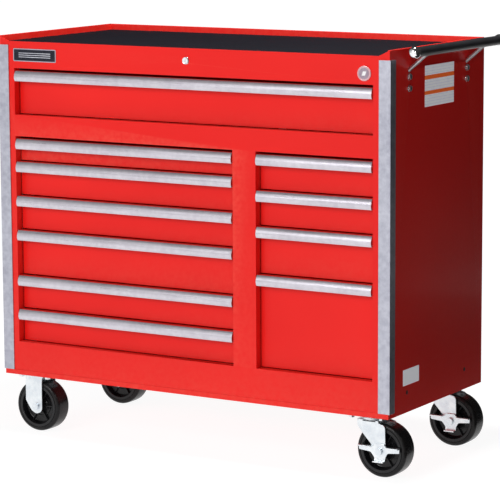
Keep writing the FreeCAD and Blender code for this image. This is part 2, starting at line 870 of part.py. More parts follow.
def forkLegs(name, trail, sides):
    # Two flat legs beside the wheel, tapering to a round foot at the axle; sides are the upper corners.
    side = "footShare * forkFootRadius"
    foot = [
        (f"{trail} - {side}", f"wheelAxle - {side}"),
        (f"{trail} + {side}", f"wheelAxle - {side}"),
        (f"{trail} + forkFootRadius", "wheelAxle"),
    ]
    legs = []
    for number, y in enumerate(("-forkOutside", "forkInside")):
        legs.append(extrusion(f"{name}_leg{number}", "XZ_Plane", foot + sides, y, "forkWall"))
        legs.append(rod(f"{name}_foot{number}", "y", "forkFootRadius", (trail, y, "wheelAxle"), "forkWall"))
    return legs


def axleHole(name, trail):
    start = (trail, "-forkOutside - 1", "wheelAxle")
    return rod(f"{name}_bore", "y", "axleRadius + turnClearance", start, "2 * forkOutside + 2")


def axleBolt(name, trail, under):
    # A headed axle bolt with its nut; under is what its head holds against the fork.
    face = f"forkOutside + {under}"
    start = (trail, f"-({face})", "wheelAxle")
    shank = rod(f"{name}_shank", "y", "axleRadius", start, f"2 * forkOutside + {under}")
    headStart = (trail, f"-({face}) - axleHeadHeight", "wheelAxle")
    head = rod(f"{name}_head", "y", "axleHeadRadius", headStart, "axleHeadHeight")
    nut = hexagon(f"{name}_nut", "y", "axleHeadRadius", (trail, "forkOutside", "wheelAxle"), "axleHeadHeight")
    return fused(f"{name}_bolt", [shank, head, nut])


def wheelPoints():
    half = "wheelWidth / 2"
    rightSide = [
        ("axleRadius + turnClearance", "hubHalf"),
        ("hubRadius - 1", "hubHalf"),
        ("hubRadius", "webThickness / 2"),
        ("rimRadius - 3", "webThickness / 2"),
        ("rimRadius", half),
        ("wheelRadius - treadRound", half),
        ("wheelRadius - treadRound / 4", f"{half} - treadRound / 4"),
        ("wheelRadius", f"{half} - treadRound"),
    ]
    leftSide = [(radius, f"-({y})") for radius, y in reversed(rightSide)]
    return rightSide + leftSide


def buildCasters():
    places = casterPlaces()
    forks = []
    axles = []
    for number, (x, y) in enumerate(places[:2]):
        name = f"Rigid{number}"
        sides = [
            ("forkFootRadius", "-plateThickness"),
            ("-rigidLegLead", "-plateThickness"),
            ("-rigidLegLead", "wheelAxle + footRise"),
        ]
        legs = forkLegs(name, "0", sides)
        whole = fused(f"{name}_fork", [casterPlate(name)] + legs)
        fork = cutFrom(f"{name}_cut", whole, plateHoles(name) + [axleHole(name, "0")])
        forks.append(place(fork, x, y, "0"))
        axles.append(place(axleBolt(name, "0", "0"), x, y, "0"))
    node(grouped("RigidForks", forks), "rigid_forks")
    node(grouped("RigidAxles", axles), "rigid_axles")

    plates = []
    for number, (x, y) in enumerate(places[2:]):
        name = f"Swivel{number}"
        raceFoot = "crownTop + raceGap"
        ring = rod(f"{name}_race", "z", "raceRadius", ("0", "0", raceFoot), "raceHeight - raceGap")
        hollow = rod(f"{name}_raceBore", "z", "raceBore", ("0", "0", raceFoot), "raceHeight - raceGap")
        pinFoot = "crownFoot - raceGap"
        pin = rod(f"{name}_pin", "z", "kingpinRadius", ("0", "0", pinFoot), f"-plateThickness - ({pinFoot})")
        headStart = ("0", "0", f"{pinFoot} - kingpinHeadHeight")
        head = rod(f"{name}_pinHead", "z", "kingpinHeadRadius", headStart, "kingpinHeadHeight")
        raced = cutFrom(f"{name}_raceRing", ring, [hollow])
        plate = cutFrom(f"{name}_plateCut", casterPlate(name), plateHoles(name))
        plates.append(place(fused(f"{name}_top", [plate, raced, pin, head]), x, y, "0"))
    node(grouped("SwivelPlates", plates), "swivel_plates")

    for end, (x, y) in zip(("front", "rear"), places[2:]):
        name = f"Fork_{end}"
        crown = block(
            f"{name}_crown",
            ("-crownLength / 2", "crownLength / 2"),
            ("-forkOutside", "forkOutside"),
            ("crownFoot", "crownTop"),
        )
        sides = [
            ("casterTrail + swivelLegBulge", "crownTop - swivelLegDrop"),
            ("crownLength / 2", "crownTop"),
            ("-crownLength / 2", "crownTop"),
            ("-crownLength / 2", "crownTop - swivelLegDrop"),
            ("casterTrail - forkFootRadius", "wheelAxle + footRise"),
        ]
        legs = forkLegs(name, "casterTrail", sides)
        kingHole = rod(
            f"{name}_king", "z", "kingpinRadius + turnClearance", ("0", "0", "crownFoot - 1"), "forkWall + 2"
        )
        whole = fused(f"{name}_whole", [crown] + legs)
        fork = cutFrom(f"{name}_cut", whole, [kingHole, axleHole(name, "casterTrail")])
        node(fork, f"swivel_fork_{end}", x, y)
        held = "pedalThickness + 2 * pedalGap"
        node(axleBolt(name, "casterTrail", held), f"swivel_axle_{end}", x, y)
        node(buildPedal(f"Pedal_{end}"), f"brake_pedal_{end}", x, y)

    wheelPlaces = zip(("left_front", "left_rear", "right_front", "right_rear"), places, (0, 0, 1, 1))
    for name, (x, y), swivels in wheelPlaces:
        wheel = revolution(f"Wheel_{name}", wheelPoints())
        node(wheel, f"wheel_{name}", f"{x} + {swivels} * casterTrail", y, "wheelAxle")

    bolts = []
    for number, (x, y) in enumerate(places):
        for corner, (dx, dy) in enumerate(boltCorners()):
            name = f"CasterBolt{number}{corner}"
            spot = (f"{x} + {dx}", f"{y} + {dy}")
            headStart = (*spot, "-plateThickness - casterHeadHeight")
            head = hexagon(f"{name}_head", "z", "casterHeadRadius", headStart, "casterHeadHeight")
            shankStart = (*spot, "-plateThickness")
            shank = rod(f"{name}_shank", "z", "casterBoltRadius", shankStart, "plateThickness + steel")
            nut = hexagon(f"{name}_nut", "z", "casterHeadRadius", (*spot, "steel"), "casterHeadHeight")
            bolts.append(fused(name, [head, shank, nut]))
    node(grouped("CasterBolts", bolts), "caster_bolts")


def buildPedal(name):
    # A cross-shaped foot lever on the axle bolt, outside the fork's front leg, its treads folded outwards.
    back = "-forkOutside - pedalGap"
    front = f"{back} - pedalThickness"
    tread = f"{front} - pedalTread"
    x = "casterTrail"
    top = "wheelAxle + pedalTop"
    low = "wheelAxle - pedalFootDrop"
    arms = (f"{x} - pedalSpan / 2", f"{x} + pedalSpan / 2")
    foot = (f"{x} - pedalFootWidth / 2", f"{x} + pedalFootWidth / 2")
    solids = [
        block(f"{name}_bar", arms, (front, back), ("wheelAxle - pedalArmDrop", top)),
        block(f"{name}_stem", foot, (front, back), (low, "wheelAxle")),
        block(f"{name}_treadFoot", foot, (tread, back), (low, f"{low} + pedalThickness")),
        rod(f"{name}_disc", "y", "pedalDiscRadius", (x, front, "wheelAxle"), "pedalThickness"),
    ]
    for number, reach in enumerate(((arms[0], foot[0]), (foot[1], arms[1]))):
        solids.append(block(f"{name}_tread{number}", reach, (tread, back), (f"{top} - pedalThickness", top)))
    start = (x, f"{front} - 1", "wheelAxle")
    bore = rod(f"{name}_bore", "y", "axleRadius + turnClearance", start, "pedalThickness + 2")
    return cutFrom(f"{name}_cut", fused(f"{name}_cross", solids), [bore])


# ---------------------------------------------------------------- the whole chest
buildWalls()
buildFrontFrame()
buildPanels()
buildPosts()
buildTrims()
buildBadges()
buildLock()
drawerList = listDrawers()
for drawerFacts in drawerList:
    buildDrawer(*drawerFacts)
    buildPull(*drawerFacts[:4])
buildRails(drawerList)
buildHandle()
buildCasters()
doc.recompute()

faults = [item.Name for item in doc.Objects if {"Invalid", "Error"} & set(item.State)]
faults += [item.Label for item in nodes if item.Shape.isNull() or not item.Shape.isValid()]
if faults:
    raise RuntimeError("failed objects: " + ", ".join(faults))

os.makedirs("parts", exist_ok=True)
for item in nodes:
    item.Shape.exportStep(f"parts/{item.Label}.step")
print(len(nodes), "nodes written")
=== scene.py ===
import json
import math

import bmesh
import bpy
from mathutils import Matrix, Vector, noise


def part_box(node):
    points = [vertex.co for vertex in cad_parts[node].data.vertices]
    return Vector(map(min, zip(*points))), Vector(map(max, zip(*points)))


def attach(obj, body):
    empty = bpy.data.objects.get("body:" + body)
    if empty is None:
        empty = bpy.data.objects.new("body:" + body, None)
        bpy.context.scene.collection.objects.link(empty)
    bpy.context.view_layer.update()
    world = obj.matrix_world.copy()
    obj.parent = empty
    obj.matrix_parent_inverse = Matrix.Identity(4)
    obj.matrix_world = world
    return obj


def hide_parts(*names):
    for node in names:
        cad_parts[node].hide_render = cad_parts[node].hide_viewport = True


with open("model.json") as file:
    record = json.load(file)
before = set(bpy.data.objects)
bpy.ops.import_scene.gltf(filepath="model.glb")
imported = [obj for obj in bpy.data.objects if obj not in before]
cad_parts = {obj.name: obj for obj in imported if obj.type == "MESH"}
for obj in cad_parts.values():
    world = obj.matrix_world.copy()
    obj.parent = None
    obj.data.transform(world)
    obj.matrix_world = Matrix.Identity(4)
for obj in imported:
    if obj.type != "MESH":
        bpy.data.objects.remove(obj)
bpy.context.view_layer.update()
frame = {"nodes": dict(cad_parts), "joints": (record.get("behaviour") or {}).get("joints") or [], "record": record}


# ---- places taken from the frame
def low(node):
    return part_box(node)[0]


def high(node):
    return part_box(node)[1]


leftX = low("side_wall_left").x
rightX = high("side_wall_right").x
frontY = low("front_frame").y
backY = high("back_wall").y
bottomZ = low("bottom_pan").z
lipZ = high("front_frame").z
pins = {joint["name"]: Vector(joint["pos_m"]) for joint in frame["joints"] if "pos_m" in joint}
bodyOf = {node: body for body, nodes in frame["record"]["behaviour"]["bodies"].items() for node in nodes}


# ---- material helpers
def addNode(tree, kind, inputs=None, settings=None):
    item = tree.nodes.new(kind)
    for key, value in (settings or {}).items():
        setattr(item, key, value)
    for key, value in (inputs or {}).items():
        if isinstance(value, bpy.types.NodeSocket):
            tree.links.new(value, item.inputs[key])
        else:
            item.inputs[key].default_value = value
    return item


def maths(tree, operation, *values):
    return addNode(tree, "ShaderNodeMath", dict(enumerate(values)), {"operation": operation}).outputs[0]


def startMaterial(name, fixed):
    material = bpy.data.materials.new(name)
    material.use_nodes = True
    shader = material.node_tree.nodes["Principled BSDF"]
    for socket, value in fixed.items():
        shader.inputs[socket].default_value = value
    return material, material.node_tree, shader


def coords(tree, stretch=(1, 1, 1)):
    source = addNode(tree, "ShaderNodeTexCoord").outputs["Object"]
    return addNode(tree, "ShaderNodeMapping", {0: source, "Scale": stretch}).outputs[0]


def speckle(tree, place, scale, detail=3.0):
    wanted = {"Vector": place, "Scale": scale, "Detail": detail}
    return addNode(tree, "ShaderNodeTexNoise", wanted).outputs["Fac"]


def spread(tree, value, lowest, highest, start=0.3, stop=0.7):
    # Maps a texture's middle range onto lowest to highest.
    wanted = {"Value": value, "From Min": start, "From Max": stop, "To Min": lowest, "To Max": highest}
    return addNode(tree, "ShaderNodeMapRange", wanted).outputs[0]


def blendColours(tree, share, first, second):
    mix = addNode(tree, "ShaderNodeMix", settings={"data_type": "RGBA"})
    for index, value in ((0, share), (6, first), (7, second)):
        if isinstance(value, bpy.types.NodeSocket):
            tree.links.new(value, mix.inputs[index])
        elif index == 0:
            mix.inputs[index].default_value = value
        else:
            mix.inputs[index].default_value = (*value, 1)
    return mix.outputs[2]


def bump(tree, shader, height, strength, distance):
    wanted = {"Height": height, "Strength": strength, "Distance": distance}
    tree.links.new(addNode(tree, "ShaderNodeBump", wanted).outputs[0], shader.inputs["Normal"])


def edgeWearAndHighlight(tree, start, stop, place):
    # How much an edge is rubbed and painted lighter, partly wear and partly a painted edge highlight, broken up by
    # a fine speckle.
    point = addNode(tree, "ShaderNodeNewGeometry").outputs["Pointiness"]
    edge = spread(tree, point, 0.0, 1.0, start, stop)
    broken = spread(tree, speckle(tree, place, 90.0), 0.2, 1.0)
    return maths(tree, "MULTIPLY", edge, broken)


def finishMaterial(name, facts):
    # Two tones in soft blotches, a rubbed edge painted lighter (partly wear, partly a painted edge highlight),
    # uneven roughness and a fine relief.
    # A finish without fixed sockets is bare metal.
    material, tree, shader = startMaterial(name, facts.get("fixed", {"Metallic": 1.0}))
    place = coords(tree, facts.get("stretch", (1, 1, 1)))
    plain = coords(tree)
    tone = spread(tree, speckle(tree, plain, facts["blotch"]), 0.0, 1.0)
    colour = blendColours(tree, tone, facts["dark"], facts["light"])
    # Rubbed edges take the lighter worn colour: partly wear, partly a painted edge highlight.
    if "worn" in facts:
        colour = blendColours(tree, edgeWearAndHighlight(tree, 0.52, 0.62, plain), colour, facts["worn"])
    tree.links.new(colour, shader.inputs["Base Color"])
    grain = speckle(tree, place, facts["grain"], 4.0)
    rough = spread(tree, grain, facts["rough"][0], facts["rough"][1])
    tree.links.new(rough, shader.inputs["Roughness"])
    bump(tree, shader, grain, facts["relief"], facts.get("depth", 0.0002))
    return material


# ---- finishes
emblemPaint = {
    "fixed": {"Specular IOR Level": 0.4},
    "blotch": 160.0, "grain": 900.0, "rough": (0.25, 0.35), "relief": 0.05, "depth": 0.0001,
}
# Each worn colour is the lighter tone of rubbed edges: partly wear and partly a painted edge highlight.
finishes = {
    "enamel": {
        "fixed": {"Specular IOR Level": 0.18, "Coat Weight": 0.05, "Coat Roughness": 0.12},
        "dark": (0.74, 0.008, 0.006), "light": (0.82, 0.012, 0.009), "worn": (0.8, 0.06, 0.04),
        "blotch": 2.2, "grain": 420.0, "rough": (0.34, 0.44), "relief": 0.1,
    },
    # A darker copy of the red enamel for the parts inside the cabinet: painted shade.
    "enamelInside": {
        "fixed": {"Specular IOR Level": 0.4},
        "dark": (0.5, 0.01, 0.008), "light": (0.58, 0.014, 0.01),
        "blotch": 4.0, "grain": 380.0, "rough": (0.45, 0.6), "relief": 0.15,
    },
    "trimAluminium": {
        "dark": (0.33, 0.33, 0.4), "light": (0.39, 0.39, 0.46), "worn": (0.8, 0.82, 0.88),
        "blotch": 9.0, "grain": 300.0, "stretch": (1, 1, 0.02), "rough": (0.3, 0.46), "relief": 0.12,
    },
    "pullAluminium": {
        "dark": (0.5, 0.47, 0.53), "light": (0.58, 0.55, 0.61), "worn": (0.9, 0.9, 0.92),
        "blotch": 12.0, "grain": 330.0, "stretch": (0.02, 1, 1), "rough": (0.26, 0.4),
        "relief": 0.12, "depth": 0.00015,
    },
    "brightZinc": {
        "dark": (0.62, 0.67, 0.72), "light": (0.8, 0.84, 0.86), "worn": (0.92, 0.94, 0.95),
        "blotch": 45.0, "grain": 520.0, "rough": (0.26, 0.42), "relief": 0.18,
    },
    "slideZinc": {
        "dark": (0.5, 0.51, 0.53), "light": (0.66, 0.67, 0.7), "worn": (0.78, 0.78, 0.8),
        "blotch": 30.0, "grain": 300.0, "stretch": (1, 0.03, 1), "rough": (0.24, 0.4), "relief": 0.14,
    },
    "chrome": {
        "dark": (0.8, 0.8, 0.82), "light": (0.9, 0.9, 0.91),
        "blotch": 60.0, "grain": 900.0, "rough": (0.05, 0.13), "relief": 0.04, "depth": 0.0001,
    },
    "gripBlack": {
        "fixed": {"Specular IOR Level": 0.55},
        "dark": (0.01, 0.01, 0.012), "light": (0.018, 0.018, 0.021),
        "blotch": 26.0, "grain": 700.0, "rough": (0.3, 0.42), "relief": 0.22,
    },
    "wheelTread": {
        "fixed": {"Specular IOR Level": 0.2},
        "dark": (0.004, 0.004, 0.005), "light": (0.012, 0.011, 0.011), "worn": (0.035, 0.034, 0.033),
        "blotch": 32.0, "grain": 260.0, "rough": (0.18, 0.36), "relief": 0.25, "depth": 0.0004,
    },
    "wheelCore": {
        "fixed": {"Specular IOR Level": 0.25, "Coat Weight": 0.1, "Coat Roughness": 0.12},
        "dark": (0.004, 0.004, 0.005), "light": (0.009, 0.009, 0.01), "worn": (0.03, 0.03, 0.032),
        "blotch": 50.0, "grain": 420.0, "rough": (0.18, 0.32), "relief": 0.12,
    },
    "badgeBlack": {
        "fixed": {"Specular IOR Level": 0.2},
        "dark": (0.008, 0.009, 0.016), "light": (0.016, 0.018, 0.03),
        "blotch": 120.0, "grain": 1500.0, "rough": (0.22, 0.34), "relief": 0.2, "depth": 0.0001,
    },
    "plugBlack": {
        "fixed": {"Specular IOR Level": 0.4},
        "dark": (0.008, 0.008, 0.008), "light": (0.02, 0.02, 0.02),
        "blotch": 200.0, "grain": 900.0, "rough": (0.45, 0.6), "relief": 0.2,
    },
    "emblemRim": {**emblemPaint, "dark": (0.6, 0.34, 0.37), "light": (0.7, 0.44, 0.47)},
    "emblemField": {**emblemPaint, "dark": (0.3, 0.22, 0.28), "light": (0.38, 0.3, 0.36)},
    "emblemWhite": {
        **emblemPaint, "dark": (0.8, 0.79, 0.8), "light": (0.88, 0.87, 0.88), "rough": (0.2, 0.3),
    },
    # The sticker paper glows faintly in a pale colour, as painted light.
    "stickerPaper": {
        "fixed": {"Emission Color": (0.8, 0.8, 0.86, 1), "Emission Strength": 0.25},
        "dark": (0.76, 0.76, 0.8), "light": (0.86, 0.86, 0.9),
        "blotch": 90.0, "grain": 700.0, "rough": (0.4, 0.55), "relief": 0.05, "depth": 0.0001,
    },
}
paints = {name: finishMaterial(name, facts) for name, facts in finishes.items()}


def matMaterial():
    # Foamed rubber: a fine pebbled weave, near black with a cool cast.
    facts = {
        "pitch": 420.0, "dark": (0.0012, 0.0011, 0.0022), "light": (0.005, 0.0045, 0.0085),
        "dust": (0.014, 0.013, 0.020),
    }
    material, tree, shader = startMaterial("matRubber", {"Specular IOR Level": 0.1})
    place = coords(tree)
    wanted = {"Vector": place, "Scale": facts["pitch"]}
    cells = addNode(tree, "ShaderNodeTexVoronoi", wanted).outputs[0]
    soft = speckle(tree, place, 14.0)
    grit = speckle(tree, place, 900.0)
    mixed = maths(tree, "MULTIPLY_ADD", cells, 0.6, grit)
    colour = blendColours(tree, spread(tree, mixed, 0.0, 1.0, 0.4, 1.1), facts["dark"], facts["light"])
    dusty = blendColours(tree, spread(tree, soft, 0.0, 0.1), colour, facts["dust"])
    tree.links.new(dusty, shader.inputs["Base Color"])
    tree.links.new(spread(tree, grit, 0.62, 0.85), shader.inputs["Roughness"])
    bump(tree, shader, mixed, 0.6, 0.0006)
    return material


def glowingLabelMaterial(bottom, top):
    # A grey film with two orange bands and thin empty rules between them, glowing faintly in its own colours as
    # painted light.
    facts = {
        "film": (0.74, 0.74, 0.80), "pale": (0.82, 0.82, 0.86), "band": (0.80, 0.13, 0.02),
        "rule": (0.46, 0.46, 0.52), "ruleCount": 15.0, "ruleStart": 0.82, "ruleShare": 0.45,
        "stops": ((0.0, 0), (0.29, 1), (0.38, 0), (0.66, 1), (0.76, 0)),
    }
    fixed = {"Specular IOR Level": 0.45, "Emission Strength": 0.25}
    material, tree, shader = startMaterial("labelFilm", fixed)
    source = addNode(tree, "ShaderNodeTexCoord").outputs["Object"]
    height = addNode(tree, "ShaderNodeSeparateXYZ", {0: source}).outputs["Z"]
    share = spread(tree, height, 0.0, 1.0, bottom, top)
    ramp = addNode(tree, "ShaderNodeValToRGB", {0: share})
    ramp.color_ramp.interpolation = "CONSTANT"
    for number, (level, on) in enumerate(facts["stops"]):
        item = ramp.color_ramp.elements[0] if number == 0 else ramp.color_ramp.elements.new(level)
        item.position = level
        item.color = (on, on, on, 1)
    ramp.color_ramp.elements.remove(ramp.color_ramp.elements[-1])
    saw = maths(tree, "MULTIPLY", share, facts["ruleCount"])
    line = maths(tree, "GREATER_THAN", maths(tree, "FRACT", saw), facts["ruleStart"])
    faint = maths(tree, "MULTIPLY", line, facts["ruleShare"])
    worn = spread(tree, speckle(tree, source, 60.0), 0.0, 1.0)
    smudge = blendColours(tree, worn, facts["film"], facts["pale"])
    ruled = blendColours(tree, faint, smudge, facts["rule"])
    colour = blendColours(tree, ramp.outputs[0], ruled, facts["band"])
    tree.links.new(colour, shader.inputs["Base Color"])
    # The film's colour also glows, as painted light.
    tree.links.new(colour, shader.inputs["Emission Color"])
    tree.links.new(spread(tree, speckle(tree, source, 300.0), 0.3, 0.5), shader.inputs["Roughness"])
    bump(tree, shader, speckle(tree, source, 700.0), 0.1, 0.0001)
    return material


paints["mat"] = matMaterial()
print("materials ready")


# ---- mesh helpers
def linkItem(name, data):
    item = bpy.data.objects.new(name, data)
    bpy.context.scene.collection.objects.link(item)
    return item


def linkPiece(name, mesh, *materials):
    piece = linkItem(name, mesh)
    mesh.materials.clear()
    for material in materials:
        mesh.materials.append(material)
    return piece


def settle(piece):
    # The modifiers' result becomes the piece's own mesh.
    bpy.context.view_layer.update()
    graph = bpy.context.evaluated_depsgraph_get()
    mesh = bpy.data.meshes.new_from_object(piece.evaluated_get(graph))
    mesh.name = piece.name
    piece.modifiers.clear()
    piece.data = mesh
    return piece


def soften(piece, radius, segments=2):
    # Rounds the sharp edges and shades the rest smooth.
    if radius > 0:
        bevel = piece.modifiers.new("edges", "BEVEL")
        bevel.width = radius
        bevel.segments = segments
        bevel.limit_method = "ANGLE"
        bevel.angle_limit = math.radians(30)
        bevel.miter_outer = "MITER_ARC"
        settle(piece)
    for polygon in piece.data.polygons:
        polygon.use_smooth = True
    piece.data.set_sharp_from_angle(angle=math.radians(40))
    weighted = piece.modifiers.new("normals", "WEIGHTED_NORMAL")
    weighted.keep_sharp = True
    return settle(piece)


def meshFrom(name, work):
    mesh = bpy.data.meshes.new(name)
    work.to_mesh(mesh)
    work.free()
    return mesh


def pieceFrom(name, work, paint, radius=0.0, segments=2):
    bmesh.ops.remove_doubles(work, verts=work.verts, dist=1e-6)
    bmesh.ops.recalc_face_normals(work, faces=work.faces)
    return soften(linkPiece(name, meshFrom(name, work), paints[paint]), radius, segments)


def mergedCad(node):
    work = bmesh.new()
    work.from_mesh(frame["nodes"][node].data)
    bmesh.ops.remove_doubles(work, verts=work.verts, dist=1e-6)
    return work


def looseParts(work):
    seen = set()
    parts = []
    for start in work.verts:
        if start in seen:
            continue
        seen.add(start)
        part = [start]
        for vertex in part:
            others = [edge.other_vert(vertex) for edge in vertex.link_edges]
            fresh = [other for other in others if other not in seen]
            seen.update(fresh)
            part += fresh
        parts.append(part)
    return parts


def cadCopy(node, name, paint, radius, keep=None):
    # A merged copy of a CAD node with rounded edges; keep picks its loose parts by their size.
    work = mergedCad(node)
    if keep:
        for part in looseParts(work):
            lowest, highest = span(part)
            if not keep(highest - lowest):
                bmesh.ops.delete(work, geom=part, context="VERTS")
    return soften(linkPiece(name, meshFrom(name, work), paints[paint]), radius)


def span(part):
    # The lowest and highest corner of a loose part.
    places = [vertex.co for vertex in part]
    lowest = Vector([min(place[axis] for place in places) for axis in range(3)])
    return lowest, Vector([max(place[axis] for place in places) for axis in range(3)])


def finish(piece, body, slot, *stoodFor):
    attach(piece, body)
    if stoodFor:
        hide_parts(*stoodFor)


def copied(node, paint, radius, body, slot):
    # The whole CAD node with rounded edges stands for itself.
    finish(cadCopy(node, node.replace("_", "-"), paint, radius), body, slot, node)


def spot(axis, across, up, along):
    # A flat outline's point put in the row frame; along is the place on the axis.
    if axis == "x":
        return (along, across, up)
    if axis == "y":
        return (across, along, up)
    return (across, up, along)


def bridge(work, here, there, closed=True):
    # Faces between two rows of points.
    for number in range(len(here) if closed else len(here) - 1):
        after = (number + 1) % len(here)
        work.faces.new((here[number], here[after], there[after], there[number]))


def solid(outline, axis, start, stop, work=None):
    work = work or bmesh.new()
    rings = [[work.verts.new(spot(axis, a, b, level)) for a, b in outline] for level in (start, stop)]
    bridge(work, *rings)
    work.faces.new(rings[0][::-1])
    work.faces.new(rings[1])
    return work


def brick(x, y, z, work=None):
    return solid([(x[0], y[0]), (x[1], y[0]), (x[1], y[1]), (x[0], y[1])], "z", z[0], z[1], work)


def turned(profile, centre, axis, steps=64, closed=False, work=None):
    # Turns (radius, along) points about an axis through centre.
    work = work or bmesh.new()
    rings = []
    for number in range(steps):
        angle = 2 * math.pi * number / steps
        ring = []
        for radius, along in profile:
            around = (radius * math.cos(angle), radius * math.sin(angle))
            ring.append(work.verts.new(Vector(spot(axis, around[0], around[1], along)) + Vector(centre)))
        rings.append(ring)
    for number in range(steps):
        bridge(work, rings[number], rings[(number + 1) % steps], closed)
    bmesh.ops.remove_doubles(work, verts=work.verts, dist=1e-7)
    bmesh.ops.dissolve_degenerate(work, edges=work.edges, dist=1e-7)
    return work


def arc(centreA, centreB, radius, start, stop, steps=6):
    angles = [math.radians(start + (stop - start) * number / steps) for number in range(steps + 1)]
    return [(centreA + radius * math.cos(angle), centreB + radius * math.sin(angle)) for angle in angles]


def rounded(corners, steps=4):
    # An outline from (across, up, radius) corners.
    points = []
    count = len(corners)
    for number, (across, up, radius) in enumerate(corners):
        corner = Vector((across, up))
        back = Vector(corners[number - 1][:2]) - corner
        ahead = Vector(corners[(number + 1) % count][:2]) - corner
        half = back.angle(ahead) / 2
        if radius <= 0 or half > math.pi / 2 - 0.01:
            points.append((across, up))
            continue
        reach = min(radius / math.tan(half), 0.49 * back.length, 0.49 * ahead.length)
        radius = reach * math.tan(half)
        centre = corner + (back.normalized() + ahead.normalized()).normalized() * (radius / math.sin(half))
        first = corner + back.normalized() * reach - centre
        second = corner + ahead.normalized() * reach - centre
        for step in range(steps + 1):
            share = step / steps
            point = centre + first.slerp(second, share) * radius
            points.append((point.x, point.y))
    return points


def roundedBox(x, y, corner):
    return rounded([(x[0], y[0], corner), (x[1], y[0], corner), (x[1], y[1], corner), (x[0], y[1], corner)])


# ---- Geometry Nodes helpers
def startTree(name, inputs):
    tree = bpy.data.node_groups.new(name, "GeometryNodeTree")
    tree.interface.new_socket("Geometry", in_out="INPUT", socket_type="NodeSocketGeometry")
    for label, kind in inputs:
        tree.interface.new_socket(label, in_out="INPUT", socket_type="NodeSocket" + kind)
    tree.interface.new_socket("Geometry", in_out="OUTPUT", socket_type="NodeSocketGeometry")
    return tree, addNode(tree, "NodeGroupInput").outputs


def endTree(tree, geometry, material):
    real = addNode(tree, "GeometryNodeRealizeInstances", {0: geometry})
    wanted = {"Geometry": real.outputs[0], "Material": material}
    painted = addNode(tree, "GeometryNodeSetMaterial", wanted)
    addNode(tree, "NodeGroupOutput", {0: painted.outputs[0]})
    return tree


def runTree(piece, tree, values):
    modifier = piece.modifiers.new(tree.name, "NODES")
    modifier.node_group = tree
    for item in tree.interface.items_tree:
        if item.in_out == "INPUT" and item.name in values:
            modifier[item.identifier] = values[item.name]
    return settle(piece)


def putOn(tree, points, instance, entry, turn=None):
    # A copy of the instance on every point, made real and painted.
    wanted = {"Points": points, "Instance": instance}
    if turn:
        wanted["Rotation"] = turn
    placed = addNode(tree, "GeometryNodeInstanceOnPoints", wanted)
    return endTree(tree, placed.outputs[0], entry["Material"])


def extrusionTree():
    # Runs the piece's own flat profile along Offset into a closed bar.
    tree, entry = startTree("extrusion", (("Offset", "Vector"), ("Material", "Material")))
    wanted = {"Mesh": entry["Geometry"], "Offset": entry["Offset"], "Individual": False}
    far = addNode(tree, "GeometryNodeExtrudeMesh", wanted)
    near = addNode(tree, "GeometryNodeFlipFaces", {0: entry["Geometry"]})
    both = addNode(tree, "GeometryNodeJoinGeometry")
    tree.links.new(far.outputs[0], both.inputs[0])
    tree.links.new(near.outputs[0], both.inputs[0])
    wanted = {0: both.outputs[0], "Distance": 1e-6}
    whole = addNode(tree, "GeometryNodeMergeByDistance", wanted)
    return endTree(tree, whole.outputs[0], entry["Material"])


def scatterTree():
    # Puts the Pattern object on each of the piece's own points.
    tree, entry = startTree("scatter", (("Pattern", "Object"), ("Material", "Material")))
    pattern = addNode(tree, "GeometryNodeObjectInfo", {"Object": entry["Pattern"]})
    return putOn(tree, entry["Geometry"], pattern.outputs["Geometry"], entry)


def rowTree():
    # From each of the piece's own points a row of balls: Count of them, Step apart.
    inputs = (("Count", "Int"), ("Step", "Vector"), ("Radius", "Float"), ("Material", "Material"))
    tree, entry = startTree("ballRow", inputs)
    wanted = {"Count": entry["Count"], "Offset": entry["Step"]}
    row = addNode(tree, "GeometryNodeMeshLine", wanted, {"mode": "OFFSET"})
    wanted = {"Points": entry["Geometry"], "Instance": row.outputs[0]}
    rows = addNode(tree, "GeometryNodeInstanceOnPoints", wanted)
    spots = addNode(tree, "GeometryNodeRealizeInstances", {0: rows.outputs[0]})
    wanted = {"Segments": 8, "Rings": 5, "Radius": entry["Radius"]}
    ball = addNode(tree, "GeometryNodeMeshUVSphere", wanted)
    smooth = addNode(tree, "GeometryNodeSetShadeSmooth", {0: ball.outputs[0]})
    return putOn(tree, spots.outputs[0], smooth.outputs[0], entry)


def spokeTree():
    # Count copies of the piece's own rib, evenly round the Y axis through Centre.
    inputs = (("Count", "Int"), ("Centre", "Vector"), ("Material", "Material"))
    tree, entry = startTree("spokes", inputs)
    wanted = {"Count": entry["Count"], "Position": entry["Centre"]}
    points = addNode(tree, "GeometryNodePoints", wanted)
    index = addNode(tree, "GeometryNodeInputIndex")
    share = maths(tree, "DIVIDE", index.outputs[0], entry["Count"])
    turn = addNode(tree, "ShaderNodeCombineXYZ", {"Y": maths(tree, "MULTIPLY", share, 2 * math.pi)})
    return putOn(tree, points.outputs[0], entry["Geometry"], entry, turn.outputs[0])


extrusion = extrusionTree()
scatter = scatterTree()
ballRow = rowTree()
spokes = spokeTree()


def plainMesh(name, points, faces=()):
    mesh = bpy.data.meshes.new(name)
    mesh.from_pydata(points, [], faces)
    return mesh


def pointPiece(name, points):
    return linkPiece(name, plainMesh(name, points))


def scattered(name, points, pattern, paint):
    wanted = {"Pattern": pattern, "Material": paints[paint]}
    piece = runTree(pointPiece(name, points), scatter, wanted)
    bpy.data.objects.remove(pattern)
    return piece


def extruded(name, outline, axis, start, length, paint, radius):
    # A profile piece: the flat outline at start, run along the axis by the extrusion tree.
    corners = [spot(axis, a, b, start) for a, b in outline]
    mesh = plainMesh(name, corners, [tuple(range(len(corners)))])
    offset = spot(axis, 0, 0, length)
    if mesh.polygons[0].normal.dot(Vector(offset)) < 0:
        mesh.flip_normals()
    wanted = {"Offset": offset, "Material": paints[paint]}
    return soften(runTree(linkPiece(name, mesh, paints[paint]), extrusion, wanted), radius)


